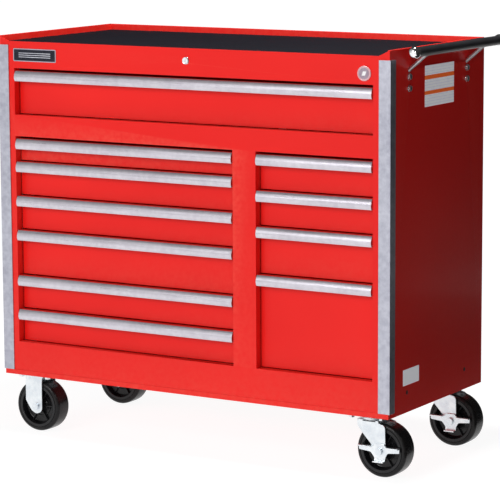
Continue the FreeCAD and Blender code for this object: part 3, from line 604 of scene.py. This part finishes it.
# ---- cabinet shell
shell = {
    "edge": 0.0005, "hemHeight": 0.012, "hemProud": 0.001, "hemEdge": 0.0004,
    "plugRadius": 0.005, "plugSeat": 0.0004, "plugPlaces": ((0.089, 0.047), (0.384, 0.0485)),
    "rivetRadius": 0.0032, "rivetInset": 0.014, "rivetPitch": 0.105, "rivetStart": 0.03,
}


def buildShell():
    for node in ("side_wall_left", "side_wall_right", "back_wall", "front_frame"):
        copied(node, "enamel", shell["edge"], "root", "red_enamel")
    # The inside parts take the darker copy of the enamel as painted shade.
    for node in ("bottom_pan", "centre_partition", "top_deck"):
        copied(node, "enamelInside", shell["edge"], "root", "red_enamel")
    copied("slide_posts", "slideZinc", shell["edge"], "root", "zinc_steel")

    # The face sheet is hemmed along its foot.
    y = (frontY - shell["hemProud"], frontY)
    hem = brick((leftX, rightX), y, (bottomZ, bottomZ + shell["hemHeight"]))
    finish(pieceFrom("front-hem", hem, "enamel", shell["hemEdge"]), "root", "red_enamel")

    radius, seat = shell["plugRadius"], shell["plugSeat"]
    dome = [(0, -seat), (radius, -seat), (radius, 0)]
    dome += [(0.0048, 0.0003), (0.0035, 0.0007), (0.0018, 0.0009), (0, 0.001)]
    work = bmesh.new()
    for across, up in shell["plugPlaces"]:
        for x, way in ((rightX, 1), (leftX, -1)):
            profile = [(reach, along * way) for reach, along in dome]
            turned(profile, (x, frontY + across, bottomZ + up), "x", 24, work=work)
    finish(pieceFrom("hole-plugs", work, "plugBlack"), "root", "red_enamel")

    # Rivets hold the back sheet along its edges and down the partition.
    radius, start = shell["rivetRadius"], bottomZ + shell["rivetStart"]
    profile = [(radius, -0.0003), (radius, 0.0003), (0.0024, 0.0009), (0, 0.0012)]
    rivet = pieceFrom("rivet", turned(profile, (0, 0, 0), "y", 12), "enamel")
    count = int((lipZ - bottomZ - 2 * shell["rivetStart"]) / shell["rivetPitch"]) + 1
    columns = (leftX + shell["rivetInset"], rightX - shell["rivetInset"], middleOf("centre_partition").x)
    spots = [(x, backY, start + shell["rivetPitch"] * number) for x in columns for number in range(count)]
    finish(scattered("back-rivets", spots, rivet, "enamel"), "root", "red_enamel")
    print("shell ready")


def middleOf(node):
    lowest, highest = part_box(node)
    return (lowest + highest) / 2


# ---- corner trims
trim = {"outer": 0.0022, "end": 0.0008, "edge": 0.0003}


def buildTrims():
    for side, way in (("left", -1), ("right", 1)):
        node = f"corner_trim_{side}"
        lowest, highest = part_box(node)
        wall = rightX if way > 0 else leftX
        face = highest.x if way > 0 else lowest.x
        inner = lowest.x if way > 0 else highest.x
        outline = rounded([
            (face, lowest.y, trim["outer"]), (face, highest.y, trim["end"]),
            (wall, highest.y, 0), (wall, frontY, 0),
            (inner, frontY, 0), (inner, lowest.y, trim["end"]),
        ])
        length = highest.z - lowest.z
        name = f"corner-trim-{side}"
        piece = extruded(name, outline, "z", lowest.z, length, "trimAluminium", trim["edge"])
        finish(piece, "root", "trim_aluminium", node)
    print("trims ready")


# ---- top mat
mat = {"columns": 150, "rows": 66, "sag": 0.0005, "wave": 7.0, "edge": 0.0008, "edgeWide": 0.001}


def buildMat():
    lowest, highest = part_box("top_mat")
    work = bmesh.new()
    grid = []
    for row in range(mat["rows"] + 1):
        line = []
        for column in range(mat["columns"] + 1):
            x = lowest.x + (highest.x - lowest.x) * column / mat["columns"]
            y = lowest.y + (highest.y - lowest.y) * row / mat["rows"]
            share = noise.noise(Vector((x, y, 0.4)) * mat["wave"]) * 0.5 + 0.5
            edge = min(x - lowest.x, highest.x - x, y - lowest.y, highest.y - y)
            drop = mat["sag"] * share + (mat["edge"] if edge < mat["edgeWide"] else 0)
            line.append(work.verts.new((x, y, highest.z - drop)))
        grid.append(line)
    for row in range(mat["rows"]):
        bridge(work, grid[row], grid[row + 1], False)
    rim = [edge for edge in work.edges if edge.is_boundary]
    walls = bmesh.ops.extrude_edge_only(work, edges=rim)["geom"]
    foot = [item for item in walls if isinstance(item, bmesh.types.BMVert)]
    for vertex in foot:
        vertex.co.z = lowest.z
    bmesh.ops.edgeloop_fill(work, edges=[item for item in walls if isinstance(item, bmesh.types.BMEdge)])
    finish(pieceFrom("top-mat", work, "mat"), "root", "mat_rubber", "top_mat")
    print("mat ready")


# ---- badges, emblem and labels
badge = {
    "frame": 0.0022, "corner": 0.003, "recess": 0.0007, "frameEdge": 0.0003,
    "strip": 0.0016, "stripInset": 0.016, "stripPitch": 0.0048, "stripDeep": 0.0003,
}
emblem = {
    "rim": 0.0022, "bowl": 0.0008, "field": 0.0125, "fieldDeep": 0.0003,
    "markWide": 0.0042, "markTall": 0.0048, "markLean": 0.0016,
}
label = {"height": 0.094, "stickerMost": 0.06}


def buildBadges():
    lowest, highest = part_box("badge_plate")
    x = (lowest.x, highest.x)
    z = (lowest.z, highest.z)
    ring = badge["frame"]
    outside = roundedBox(x, z, badge["corner"])
    small = badge["corner"] - ring * 0.6
    inside = roundedBox((x[0] + ring, x[1] - ring), (z[0] + ring, z[1] - ring), small)
    work = bmesh.new()
    loops = []
    for outline, y in ((outside, highest.y), (outside, lowest.y), (inside, lowest.y), (inside, highest.y)):
        loops.append([work.verts.new((a, y, b)) for a, b in outline])
    for number, loop in enumerate(loops):
        bridge(work, loop, loops[(number + 1) % 4])
    finish(pieceFrom("badge-frame", work, "trimAluminium", badge["frameEdge"]), "root", "badge_steel")

    panel = solid(inside, "y", lowest.y + badge["recess"], highest.y)
    finish(pieceFrom("badge-panel", panel, "badgeBlack"), "root", "badge_plate", "badge_plate")
    work = bmesh.new()
    middle = (z[0] + z[1]) / 2
    reach = badge["stripInset"]
    y = (lowest.y + badge["stripDeep"], lowest.y + badge["recess"])
    for lift in (badge["stripPitch"], 0, -badge["stripPitch"]):
        level = (middle + lift - badge["strip"] / 2, middle + lift + badge["strip"] / 2)
        brick((x[0] + reach, x[1] - reach), y, level, work)
    finish(pieceFrom("badge-strips", work, "trimAluminium", 0.0002), "root", "badge_steel")

    lowest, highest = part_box("round_badge")
    centre = (lowest + highest) / 2
    radius = (highest.x - lowest.x) / 2
    face = lowest.y - centre.y
    back = highest.y - centre.y
    rim = emblem["rim"]
    bowl = face + emblem["bowl"]
    outline = [
        (0, back), (radius, back), (radius, face + 0.0006), (radius - 0.0005, face),
        (radius - rim, face), (radius - rim - 0.0006, bowl), (0, bowl),
    ]
    piece = pieceFrom("round-badge", turned(outline, centre, "y", 72), "emblemRim")
    finish(piece, "root", "badge_steel", "round_badge")
    reach, front = emblem["field"], face + emblem["fieldDeep"]
    field = [(0, bowl), (reach, bowl), (reach, front), (0, front)]
    finish(pieceFrom("emblem-field", turned(field, centre, "y", 48), "emblemField"), "root", "badge_steel")
    wide, tall, lean = emblem["markWide"], emblem["markTall"], emblem["markLean"]
    mark = [(-wide - lean, -tall), (wide - lean, -tall), (wide + lean, tall), (-wide + lean, tall)]
    mark = [(centre.x + across, centre.z + up) for across, up in mark]
    work = solid(mark, "y", lowest.y + 0.0001, lowest.y + 0.0008)
    finish(pieceFrom("emblem-mark", work, "emblemWhite", 0.0001), "root", "badge_steel")

    highest = high("side_labels")
    paints["label"] = glowingLabelMaterial(highest.z - label["height"], highest.z)
    split = label["stickerMost"]
    piece = cadCopy("side_labels", "side-label", "label", 0.0, lambda size: size.z > split)
    finish(piece, "root", "label_film", "side_labels")
    piece = cadCopy("side_labels", "side-sticker", "stickerPaper", 0.0, lambda size: size.z < split)
    finish(piece, "root", "label_film")
    print("badges ready")


# ---- lock
lock = {
    "barrel": 0.008, "play": 0.00005, "flange": 0.0008, "slope": 0.0016, "mouth": 0.0009,
    "edge": 0.0004, "plugEdge": 0.0003,
}


def buildLock():
    lowest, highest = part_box("lock_housing")
    centre = Vector(((lowest.x + highest.x) / 2, frontY, (lowest.z + highest.z) / 2))
    proud = frontY - lowest.y
    outer = (highest.x - lowest.x) / 2
    bore = (high("lock_cylinder").x - low("lock_cylinder").x) / 2 + lock["play"]
    barrel = lock["barrel"]
    length = highest.y - frontY
    profile = [
        (bore, length), (barrel, length), (barrel, 0), (outer, 0), (outer, -lock["flange"]),
        (outer - 0.0006, -0.0017), (outer - lock["slope"], -proud),
        (bore + lock["mouth"], -proud), (bore, -proud + 0.0006),
    ]
    piece = pieceFrom("lock-housing", turned(profile, centre, "y", 64, closed=True), "chrome")
    finish(piece, "root", "bright_chrome", "lock_housing")
    copied("lock_cylinder", "chrome", lock["plugEdge"], "lock_plug", "bright_chrome")
    copied("lock_rod", "slideZinc", lock["edge"], "lock_plug", "zinc_steel")
    copied("lock_bar", "slideZinc", lock["edge"], "lock_frame", "zinc_steel")
    print("lock ready")


# ---- push handle
handle = {"tubeEdge": 0.0005, "boltHead": 0.0070, "boltWasher": 0.0082, "capRings": 28}


def buildHandle():
    lowest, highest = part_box("handle_tube")
    centre = (lowest + highest) / 2
    radius = (highest.x - lowest.x) / 2
    half = (highest.y - lowest.y) / 2
    lip = handle["tubeEdge"]
    profile = [
        (0, -half), (radius - lip, -half), (radius, -half + lip),
        (radius, half - lip), (radius - lip, half), (0, half),
    ]
    piece = pieceFrom("handle-tube", turned(profile, centre, "y", 64), "gripBlack")
    finish(piece, "root", "handle_black", "handle_tube")

    capLow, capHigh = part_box("handle_caps")
    ball = (capHigh.x - capLow.x) / 2
    angles = [math.pi * number / handle["capRings"] for number in range(handle["capRings"] + 1)]
    profile = [(ball * math.sin(angle), -ball * math.cos(angle)) for angle in angles]
    work = bmesh.new()
    for y in (capLow.y + ball, capHigh.y - ball):
        turned(profile, (centre.x, y, centre.z), "y", 48, work=work)
    finish(pieceFrom("handle-caps", work, "chrome"), "root", "bright_chrome", "handle_caps")

    copied("handle_arms", "slideZinc", 0.0005, "root", "zinc_steel")

    # Hexagon heads with a round washer face and a low crown.
    proud = high("handle_bolts").x - rightX
    work = mergedCad("handle_bolts")
    spots = []
    for part in looseParts(work):
        middle = sum((vertex.co for vertex in part), Vector()) / len(part)
        spots.append((rightX, middle.y, middle.z))
    work.free()
    head = headPattern(handle["boltHead"], proud, "x", handle["boltWasher"])
    finish(scattered("handle-bolts", spots, head, "chrome"), "root", "bright_chrome")
    piece = cadCopy("handle_bolts", "handle-bolt-nuts", "brightZinc", 0.0004)
    finish(piece, "root", "bright_chrome", "handle_bolts")
    print("handle ready")


def headPattern(radius, height, axis, washer):
    # A chamfered hexagon head standing on its flange, pointing along the axis.
    work = bmesh.new()
    flange = [(0, 0), (washer, 0), (washer, height * 0.12)]
    flange += [(washer - 0.0006, height * 0.22), (0, height * 0.22)]
    turned(flange, (0, 0, 0), axis, 32, work=work)
    angles = [math.radians(60 * number) for number in range(6)]
    corners = [(radius * math.cos(angle), radius * math.sin(angle)) for angle in angles]
    solid(corners, axis, height * 0.2, height * 0.8, work)
    inner = radius * 0.86
    crown = [
        (0, height * 0.78), (inner, height * 0.78), (inner, height * 0.82),
        (inner * 0.8, height * 0.93), (inner * 0.45, height), (0, height),
    ]
    turned(crown, (0, 0, 0), axis, 32, work=work)
    return pieceFrom("head", work, "chrome", 0.0003)


# ---- drawers, pulls and slides
pull = {
    "creaseShare": 0.62, "footBack": 0.0032, "wall": 0.0016, "edge": 0.0003,
    "hookGap": 0.0012, "hookRise": 0.005,
}
slide = {
    "ballRadius": 0.0021, "ballStep": 0.0205, "ballCount": 14, "ballStart": 0.012,
    "rowInset": 0.00335, "rowAside": 0.0015, "cage": 0.0005, "cageHalf": 0.0014, "cageAhead": 0.008,
    "edge": 0.0003, "widest": 0.05,
}
drawerNames = sorted(node[len("drawer_"):] for node in frame["nodes"] if node.startswith("drawer_"))


def bowed(top, crease, foot, nose, topY, footY, steps=(10, 6)):
    # Points down a smooth bow: topY at the top, nose at the crease, footY at the foot.
    points = []
    for number in range(steps[0]):
        share = 1 - number / steps[0]
        points.append((nose + (topY - nose) * share ** 2, crease + (top - crease) * share))
    for number in range(steps[1] + 1):
        share = number / steps[1]
        points.append((nose + (footY - nose) * share ** 2, crease + (foot - crease) * share))
    return points


def pullOutline(nose, lip, top, foot):
    # y and z of the snap-on section: a bowed face, and a hook under the drawer's lip.
    crease = top - pull["creaseShare"] * (top - foot)
    footY = nose + pull["footBack"]
    wall = pull["wall"]
    hook = lip + pull["hookGap"]
    rise = foot + pull["hookRise"]
    outer = bowed(top, crease, foot, nose, lip, footY)
    inner = [
        (hook + wall, foot), (hook + wall, rise), (hook, rise),
        (hook, foot + wall), (footY + wall, foot + wall),
    ]
    inner += bowed(top - 2.5 * wall, crease, foot + wall, nose + wall, lip, footY + wall)[10::-1]
    return outer + inner


def buildDrawers():
    starts = []
    cages = bmesh.new()
    widest, edge = slide["widest"], slide["edge"]
    for name in drawerNames:
        node = f"drawer_{name}"
        body = bodyOf[node]
        piece = cadCopy(node, f"drawer-{name}", "enamel", 0.0005, lambda size: size.x > widest)
        finish(piece, body, "red_enamel", node)
        piece = cadCopy(node, f"slide-member-{name}", "slideZinc", edge, lambda size: size.x < widest)
        finish(piece, body, "zinc_steel")

        lowest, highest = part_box(f"pull_{name}")
        outline = pullOutline(lowest.y, low(node).y, highest.z, lowest.z)
        length = highest.x - lowest.x
        piece = extruded(f"pull-{name}", outline, "x", lowest.x, length, "pullAluminium", pull["edge"])
        finish(piece, body, "pull_aluminium", f"pull_{name}")
    copied("slide_rails", "slideZinc", edge, "root", "zinc_steel")

    # Two rows of balls a slide, between the fixed and the moving member.
    work = mergedCad("slide_rails")
    inset, half = slide["rowInset"], slide["cageHalf"]
    length = slide["ballStep"] * slide["ballCount"]
    for part in looseParts(work):
        lowest, highest = span(part)
        aside = slide["rowAside"] if opensRight(part) else -slide["rowAside"]
        middle = (lowest.x + highest.x) / 2 + aside
        first = lowest.y + slide["ballStart"]
        for level in (lowest.z + inset, highest.z - inset):
            starts.append((middle, first, level))
            z = (level - slide["cage"], level + slide["cage"])
            brick((middle - half, middle + half), (first - slide["cageAhead"], first + length), z, cages)
    work.free()
    wanted = {
        "Count": slide["ballCount"], "Step": (0, slide["ballStep"], 0),
        "Radius": slide["ballRadius"], "Material": paints["chrome"],
    }
    finish(runTree(pointPiece("slide-balls", starts), ballRow, wanted), "root", "zinc_steel")
    finish(pieceFrom("ball-cages", cages, "slideZinc"), "root", "zinc_steel")
    print("drawers ready")


def opensRight(part):
    # True where a channel's web is on its low-x side.
    lowest = min(vertex.co.x for vertex in part)
    highest = max(vertex.co.x for vertex in part)
    nearLow = sum(1 for vertex in part if vertex.co.x - lowest < 0.002)
    nearHigh = sum(1 for vertex in part if highest - vertex.co.x < 0.002)
    return nearLow > nearHigh


# ---- casters
caster = {
    "plateCorner": 0.008, "plateThick": 0.004, "plateHalfX": 0.05, "plateHalfY": 0.0425,
    "forkHalf": 0.0308, "legSheet": 0.003, "flangeTurn": 10.0, "forkEdge": 0.0009,
}
wheel = {
    "hub": 0.017, "bore": 0.00605, "hubProud": 0.0014, "web": 0.0085, "core": 0.0112,
    "ribCount": 6, "ribThickness": 0.0024, "ribFoot": 0.007, "ribDeep": 0.0165, "ribShallow": 0.0135,
    "ribGap": 0.0205, "ribEdge": 0.0006,
}


def wheelOutline(radius, half, hubHalf):
    # (radius, along) points of one side from the tread's middle to the bore.
    ringOut = radius - 0.0105
    ringIn = radius - 0.019
    web, hub, bore = wheel["web"], wheel["hub"], wheel["bore"]
    tread = [(radius, 0), (radius - 0.0001, half * 0.35), (radius - 0.0004, half * 0.62)]
    shoulder = arc(radius - 0.0085, half - 0.0088, 0.0082, 12, 80, 7)
    return tread + shoulder + [
        (ringOut + 0.0012, half - 0.0004), (ringOut + 0.0006, half - 0.0018), (ringOut, half - 0.0018),
        (ringOut - 0.0006, half - 0.0002), (ringIn + 0.0016, half), (ringIn, half - 0.0016),
        (ringIn - 0.003, web + 0.0012), (ringIn - 0.005, web), (0.0292, web), (0.0284, web + 0.0022),
        (0.0262, web + 0.0022), (0.0250, web), (hub + 0.002, web), (hub, web + 0.002),
        (hub - 0.0012, hubHalf - 0.001), (hub - 0.0022, hubHalf), (bore + 0.003, hubHalf),
        (bore + 0.0024, hubHalf - 0.0008), (bore, hubHalf - 0.0008),
    ]


def buildWheel(node):
    lowest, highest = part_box(node)
    centre = (lowest + highest) / 2
    radius = (highest.z - lowest.z) / 2
    hubHalf = (highest.y - lowest.y) / 2
    side = wheelOutline(radius, hubHalf - wheel["hubProud"], hubHalf)
    other = [(r, -along) for r, along in reversed(side[1:])]
    name = node.replace("_", "-")
    work = turned(other + side, centre, "y", 96, closed=True)
    piece = pieceFrom(name, work, "wheelTread")
    piece.data.materials.append(paints["wheelCore"])
    for polygon in piece.data.polygons:
        away = math.hypot(polygon.center.x - centre.x, polygon.center.z - centre.z)
        if away < radius - wheel["core"]:
            polygon.material_index = 1
    body = bodyOf[node]
    finish(piece, body, "wheel_rubber", node)

    # Stiffening ribs between the hub and the rim, on both faces.
    rib = bmesh.new()
    thick = wheel["ribThickness"] / 2
    inner, outer, foot = wheel["hub"] - 0.001, radius - wheel["ribGap"], wheel["ribFoot"]
    for way in (-1, 1):
        corners = [(inner, foot), (outer, foot), (outer, wheel["ribShallow"]), (inner, wheel["ribDeep"])]
        solid([(a, b * way) for a, b in corners], "z", -thick, thick, rib)
    piece = pieceFrom(f"{name}-ribs", rib, "wheelCore", wheel["ribEdge"])
    wanted = {"Count": wheel["ribCount"], "Centre": tuple(centre), "Material": paints["wheelCore"]}
    finish(runTree(piece, spokes, wanted), body, "wheel_rubber")


def foldSheet(work, fold, angle, way):
    # Turns what lies on the low-x side of the fold towards +y by way.
    whole = work.verts[:] + work.edges[:] + work.faces[:]
    bmesh.ops.bisect_plane(work, geom=whole, plane_co=(fold, 0, 0), plane_no=(1, 0, 0))
    slope = math.tan(math.radians(angle))
    for vertex in work.verts:
        if vertex.co.x < fold:
            vertex.co.y += way * slope * (fold - vertex.co.x)


def addTo(whole, work):
    mesh = meshFrom("part", work)
    whole.from_mesh(mesh)
    bpy.data.meshes.remove(mesh)


def legPair(outline, fold, centreY):
    # The two pressed legs of a fork, mirrored about the wheel,
    # each turned in a little along its leading edge.
    whole = bmesh.new()
    outside = caster["forkHalf"]
    for way in (-1, 1):
        near = centreY + way * (outside - caster["legSheet"])
        far = centreY + way * outside
        leg = solid(outline, "y", min(near, far), max(near, far))
        foldSheet(leg, fold, caster["flangeTurn"], -way)
        addTo(whole, leg)
    return whole


def plateOutline(centre, halfX, halfY):
    x = (centre.x - halfX, centre.x + halfX)
    return roundedBox(x, (centre.y - halfY, centre.y + halfY), caster["plateCorner"])


def topPlate(centre, work):
    outline = plateOutline(centre, caster["plateHalfX"], caster["plateHalfY"])
    solid(outline, "z", bottomZ - caster["plateThick"], bottomZ, work)


def buildRigid():
    whole = bmesh.new()
    for end in ("front", "rear"):
        centre = middleOf(f"wheel_left_{end}")
        topPlate(centre, whole)
        x, z = centre.x, centre.z
        foot = bottomZ - caster["plateThick"]
        outline = rounded([
            (x - 0.034, foot + 0.001, 0), (x - 0.0325, foot - 0.012, 0.01), (x - 0.0325, z + 0.013, 0.004),
            (x - 0.0135, z - 0.0115, 0.006), (x, z - 0.0195, 0.018), (x + 0.0175, z - 0.012, 0.014),
            (x + 0.0175, foot - 0.012, 0.012), (x + 0.023, foot + 0.001, 0),
        ], 6)
        addTo(whole, legPair(outline, x - 0.018, centre.y))
    piece = pieceFrom("rigid-forks", whole, "brightZinc", caster["forkEdge"], 3)
    finish(piece, "root", "caster_zinc", "rigid_forks")
    copied("rigid_axles", "brightZinc", 0.0006, "root", "zinc_steel")


def buildSwivel(end):
    node = f"swivel_fork_{end}"
    body = bodyOf[node]
    pin = pins[f"swivel_{end}_turn"]
    axle = pins[f"wheel_right_{end}_spin"]
    top = high(node).z
    x, z = axle.x, axle.z
    outline = rounded([
        (pin.x - 0.0285, top, 0.002), (pin.x - 0.0285, top - 0.014, 0.02), (x - 0.0185, z + 0.010, 0.02),
        (x - 0.0150, z - 0.0085, 0.010), (x, z - 0.0175, 0.014), (x + 0.0150, z - 0.0085, 0.014),
        (x + 0.0135, z + 0.060, 0.02), (pin.x + 0.0285, top - 0.006, 0.01), (pin.x + 0.0285, top, 0.002),
    ], 6)
    whole = legPair(outline, pin.x - 0.012, axle.y)
    crown = plateOutline(pin, 0.029, caster["forkHalf"])
    solid(crown, "z", top - 0.004, top, whole)
    piece = pieceFrom(f"swivel-fork-{end}", whole, "brightZinc", caster["forkEdge"], 3)
    finish(piece, body, "caster_zinc", node)
    copied(f"swivel_axle_{end}", "brightZinc", 0.0006, body, "zinc_steel")


pedal = {"sheet": 0.003, "rise": 0.0125, "inset": 0.0004, "armFrom": 0.0185, "edge": 0.0008}


def buildPedal(end):
    # A pressed cross on the axle with its treads folded out at the arms' tops and at the foot.
    node = f"brake_pedal_{end}"
    lowest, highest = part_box(node)
    axle = pins[f"wheel_right_{end}_spin"]
    x, z, foot = axle.x, axle.z, lowest.z
    arm = 0.5 * (highest.x - lowest.x)
    top = z + pedal["rise"]
    outline = rounded([
        (x - arm, top - 0.012, 0.003), (x - 0.022, top - 0.015, 0.006), (x - 0.0125, z - 0.014, 0.005),
        (x - 0.0125, foot, 0.002), (x + 0.0140, foot, 0.002), (x + 0.0165, z - 0.012, 0.006),
        (x + 0.022, top - 0.015, 0.006), (x + arm, top - 0.012, 0.003), (x + arm, top, 0.001),
        (x + 0.0165, top, 0.005), (x + 0.011, top + 0.006, 0.006), (x - 0.011, top + 0.006, 0.006),
        (x - 0.0165, top, 0.005), (x - arm, top, 0.001),
    ], 4)
    work = solid(outline, "y", highest.y - pedal["sheet"], highest.y)
    reach = (lowest.y, highest.y - pedal["inset"])
    start = pedal["armFrom"]
    for first, last in ((-arm, -start), (start, arm)):
        brick((x + first, x + last), reach, (top - 0.003, top + 0.0002), work)
    brick((x - 0.0125, x + 0.0140), reach, (foot, foot + 0.003), work)
    piece = pieceFrom(f"brake-pedal-{end}", work, "brightZinc", pedal["edge"])
    finish(piece, bodyOf[node], "caster_zinc", node)


def buildPlates():
    whole = bmesh.new()
    for end in ("front", "rear"):
        pin = pins[f"swivel_{end}_turn"]
        topPlate(pin, whole)
        centre = (pin.x, pin.y, bottomZ - caster["plateThick"])
        race = [
            (0.020, 0.0002), (0.0335, 0.0002), (0.0335, -0.0022), (0.0300, -0.0052),
            (0.0300, -0.0086), (0.0285, -0.0087), (0.020, -0.0087),
        ]
        turned(race, centre, "z", 64, closed=True, work=whole)
        kingpin = [
            (0, 0), (0.006, 0), (0.006, -0.0133), (0.010, -0.0134),
            (0.010, -0.0155), (0.0085, -0.0168), (0, -0.0168),
        ]
        turned(kingpin, centre, "z", 32, work=whole)
    finish(pieceFrom("swivel-plates", whole, "brightZinc", 0.0005), "root", "caster_zinc", "swivel_plates")


def buildCasters():
    for node in sorted(frame["nodes"]):
        if node.startswith("wheel_"):
            buildWheel(node)
    buildRigid()
    buildPlates()
    for end in ("front", "rear"):
        buildSwivel(end)
        buildPedal(end)
    copied("caster_bolts", "brightZinc", 0.0005, "root", "zinc_steel")
    print("casters ready")


# ---- floor, light and camera
studio = {
    "brightWay": (-0.45, -0.75, -0.48), "dim": 0.05, "bright": 0.75, "seen": 1.05,
    # The floor's glow is lowest close to the chest, as a painted soft shadow.
    "floorDepth": 2.6, "floorGlowPaintedShadow": 0.93, "floorFar": 0.99, "floorWide": 30,
    "floorDark": (0.13, 0.13, 0.13), "floorLight": (0.15, 0.15, 0.15),
    "cardX": 1.7, "cardFoot": 0.012, "cardGap": 0.1, "target": (0, 0, 0.5),
}
# name: place, size, power
lamps = {
    "key": ((-0.8, -6.0, 3.3), 2.6, 150.0),
    "top": ((0.32, -0.14, 3.0), 0.3, 85.0),
    "kick": ((2.8, -3.4, 2.3), 0.35, 14.0),
}


def areaLight(name, place, size, power):
    light = bpy.data.lights.new(name, "AREA")
    light.shape = "SQUARE"
    light.size = size
    light.energy = power
    item = linkItem(name, light)
    item.location = place
    way = Vector(studio["target"]) - Vector(place)
    item.rotation_euler = way.to_track_quat("-Z", "Y").to_euler()


def flatPiece(name, corners, material):
    return linkPiece(name, plainMesh(name, corners, [(0, 1, 2, 3)]), material)


def buildStudio():
    material, tree, shader = startMaterial("floorPaint", {"Specular IOR Level": 0.2})
    place = coords(tree)
    tone = spread(tree, speckle(tree, place, 3.0), 0.0, 1.0)
    colour = blendColours(tree, tone, studio["floorDark"], studio["floorLight"])
    tree.links.new(colour, shader.inputs["Base Color"])
    tree.links.new(spread(tree, speckle(tree, place, 40.0), 0.6, 0.75), shader.inputs["Roughness"])
    shader.inputs["Emission Color"].default_value = (1, 1, 1, 1)
    # The floor glows to an even white, a little less near the chest as a painted soft shadow.
    away = addNode(tree, "ShaderNodeVectorMath", {0: place}, {"operation": "LENGTH"}).outputs["Value"]
    glowWithPaintedShadow = spread(tree, away, studio["floorGlowPaintedShadow"], studio["floorFar"], 0.6, 1.9)
    tree.links.new(glowWithPaintedShadow, shader.inputs["Emission Strength"])
    wide, edge = studio["floorWide"], studio["floorDepth"]
    corners = [(-wide, -wide, 0), (wide, -wide, 0), (wide, edge, 0), (-wide, edge, 0)]
    flatPiece("floor", corners, material)

    # Black cards beside the handle side keep the floor's light off it.
    material = startMaterial("cardBlack", {"Base Color": (0.004, 0.004, 0.004, 1), "Roughness": 0.9})[0]
    x = studio["cardX"]
    near = rightX + studio["cardGap"]
    foot = studio["cardFoot"]
    cards = {
        "wallCard": [(x, -1.3, 0), (x, 4.0, 0), (x, 4.0, 2.0), (x, -1.3, 2.0)],
        "floorCard": [(near, -0.6, foot), (x, -0.6, foot), (x, 2.0, foot), (near, 2.0, foot)],
    }
    for name, corners in cards.items():
        card = flatPiece(name, corners, material)
        card.visible_camera = False
        card.visible_shadow = False

    world = bpy.data.worlds.new("studio")
    bpy.context.scene.world = world
    world.use_nodes = True
    tree = world.node_tree
    tree.nodes.clear()
    path = addNode(tree, "ShaderNodeLightPath")
    way = addNode(tree, "ShaderNodeTexCoord").outputs["Generated"]
    wanted = {0: way, 1: studio["brightWay"]}
    facing = addNode(tree, "ShaderNodeVectorMath", wanted, {"operation": "DOT_PRODUCT"}).outputs["Value"]
    fill = spread(tree, facing, studio["dim"], studio["bright"], -0.1, 0.75)
    wanted = {"Value": path.outputs["Is Camera Ray"], "To Min": fill, "To Max": studio["seen"]}
    strength = addNode(tree, "ShaderNodeMapRange", wanted)
    background = addNode(tree, "ShaderNodeBackground", {0: (1, 1, 1, 1), 1: strength.outputs[0]})
    addNode(tree, "ShaderNodeOutputWorld", {0: background.outputs[0]})

    for name, (place, size, power) in lamps.items():
        areaLight(name, place, size, power)
    settings = bpy.context.scene.view_settings
    settings.view_transform = "Standard"
    settings.look = "None"


view = {
    "place": (3.109, -5.172, 1.406), "azimuth": 31.04, "drop": 8.875, "roll": -0.286,
    "lens": 182.0, "sensor": 36.0,
}


def buildCamera():
    camera = bpy.data.cameras.new("camera")
    camera.lens = view["lens"]
    camera.sensor_width = view["sensor"]
    item = linkItem("camera", camera)
    turn = Matrix.Rotation(math.radians(view["azimuth"]), 4, "Z")
    tilt = Matrix.Rotation(math.radians(90 - view["drop"]), 4, "X")
    roll = Matrix.Rotation(math.radians(view["roll"]), 4, "Z")
    item.matrix_world = Matrix.Translation(view["place"]) @ turn @ tilt @ roll
    bpy.context.scene.camera = item


buildCamera()
buildStudio()
buildShell()
buildTrims()
buildMat()
buildBadges()
buildLock()
buildHandle()
buildDrawers()
buildCasters()
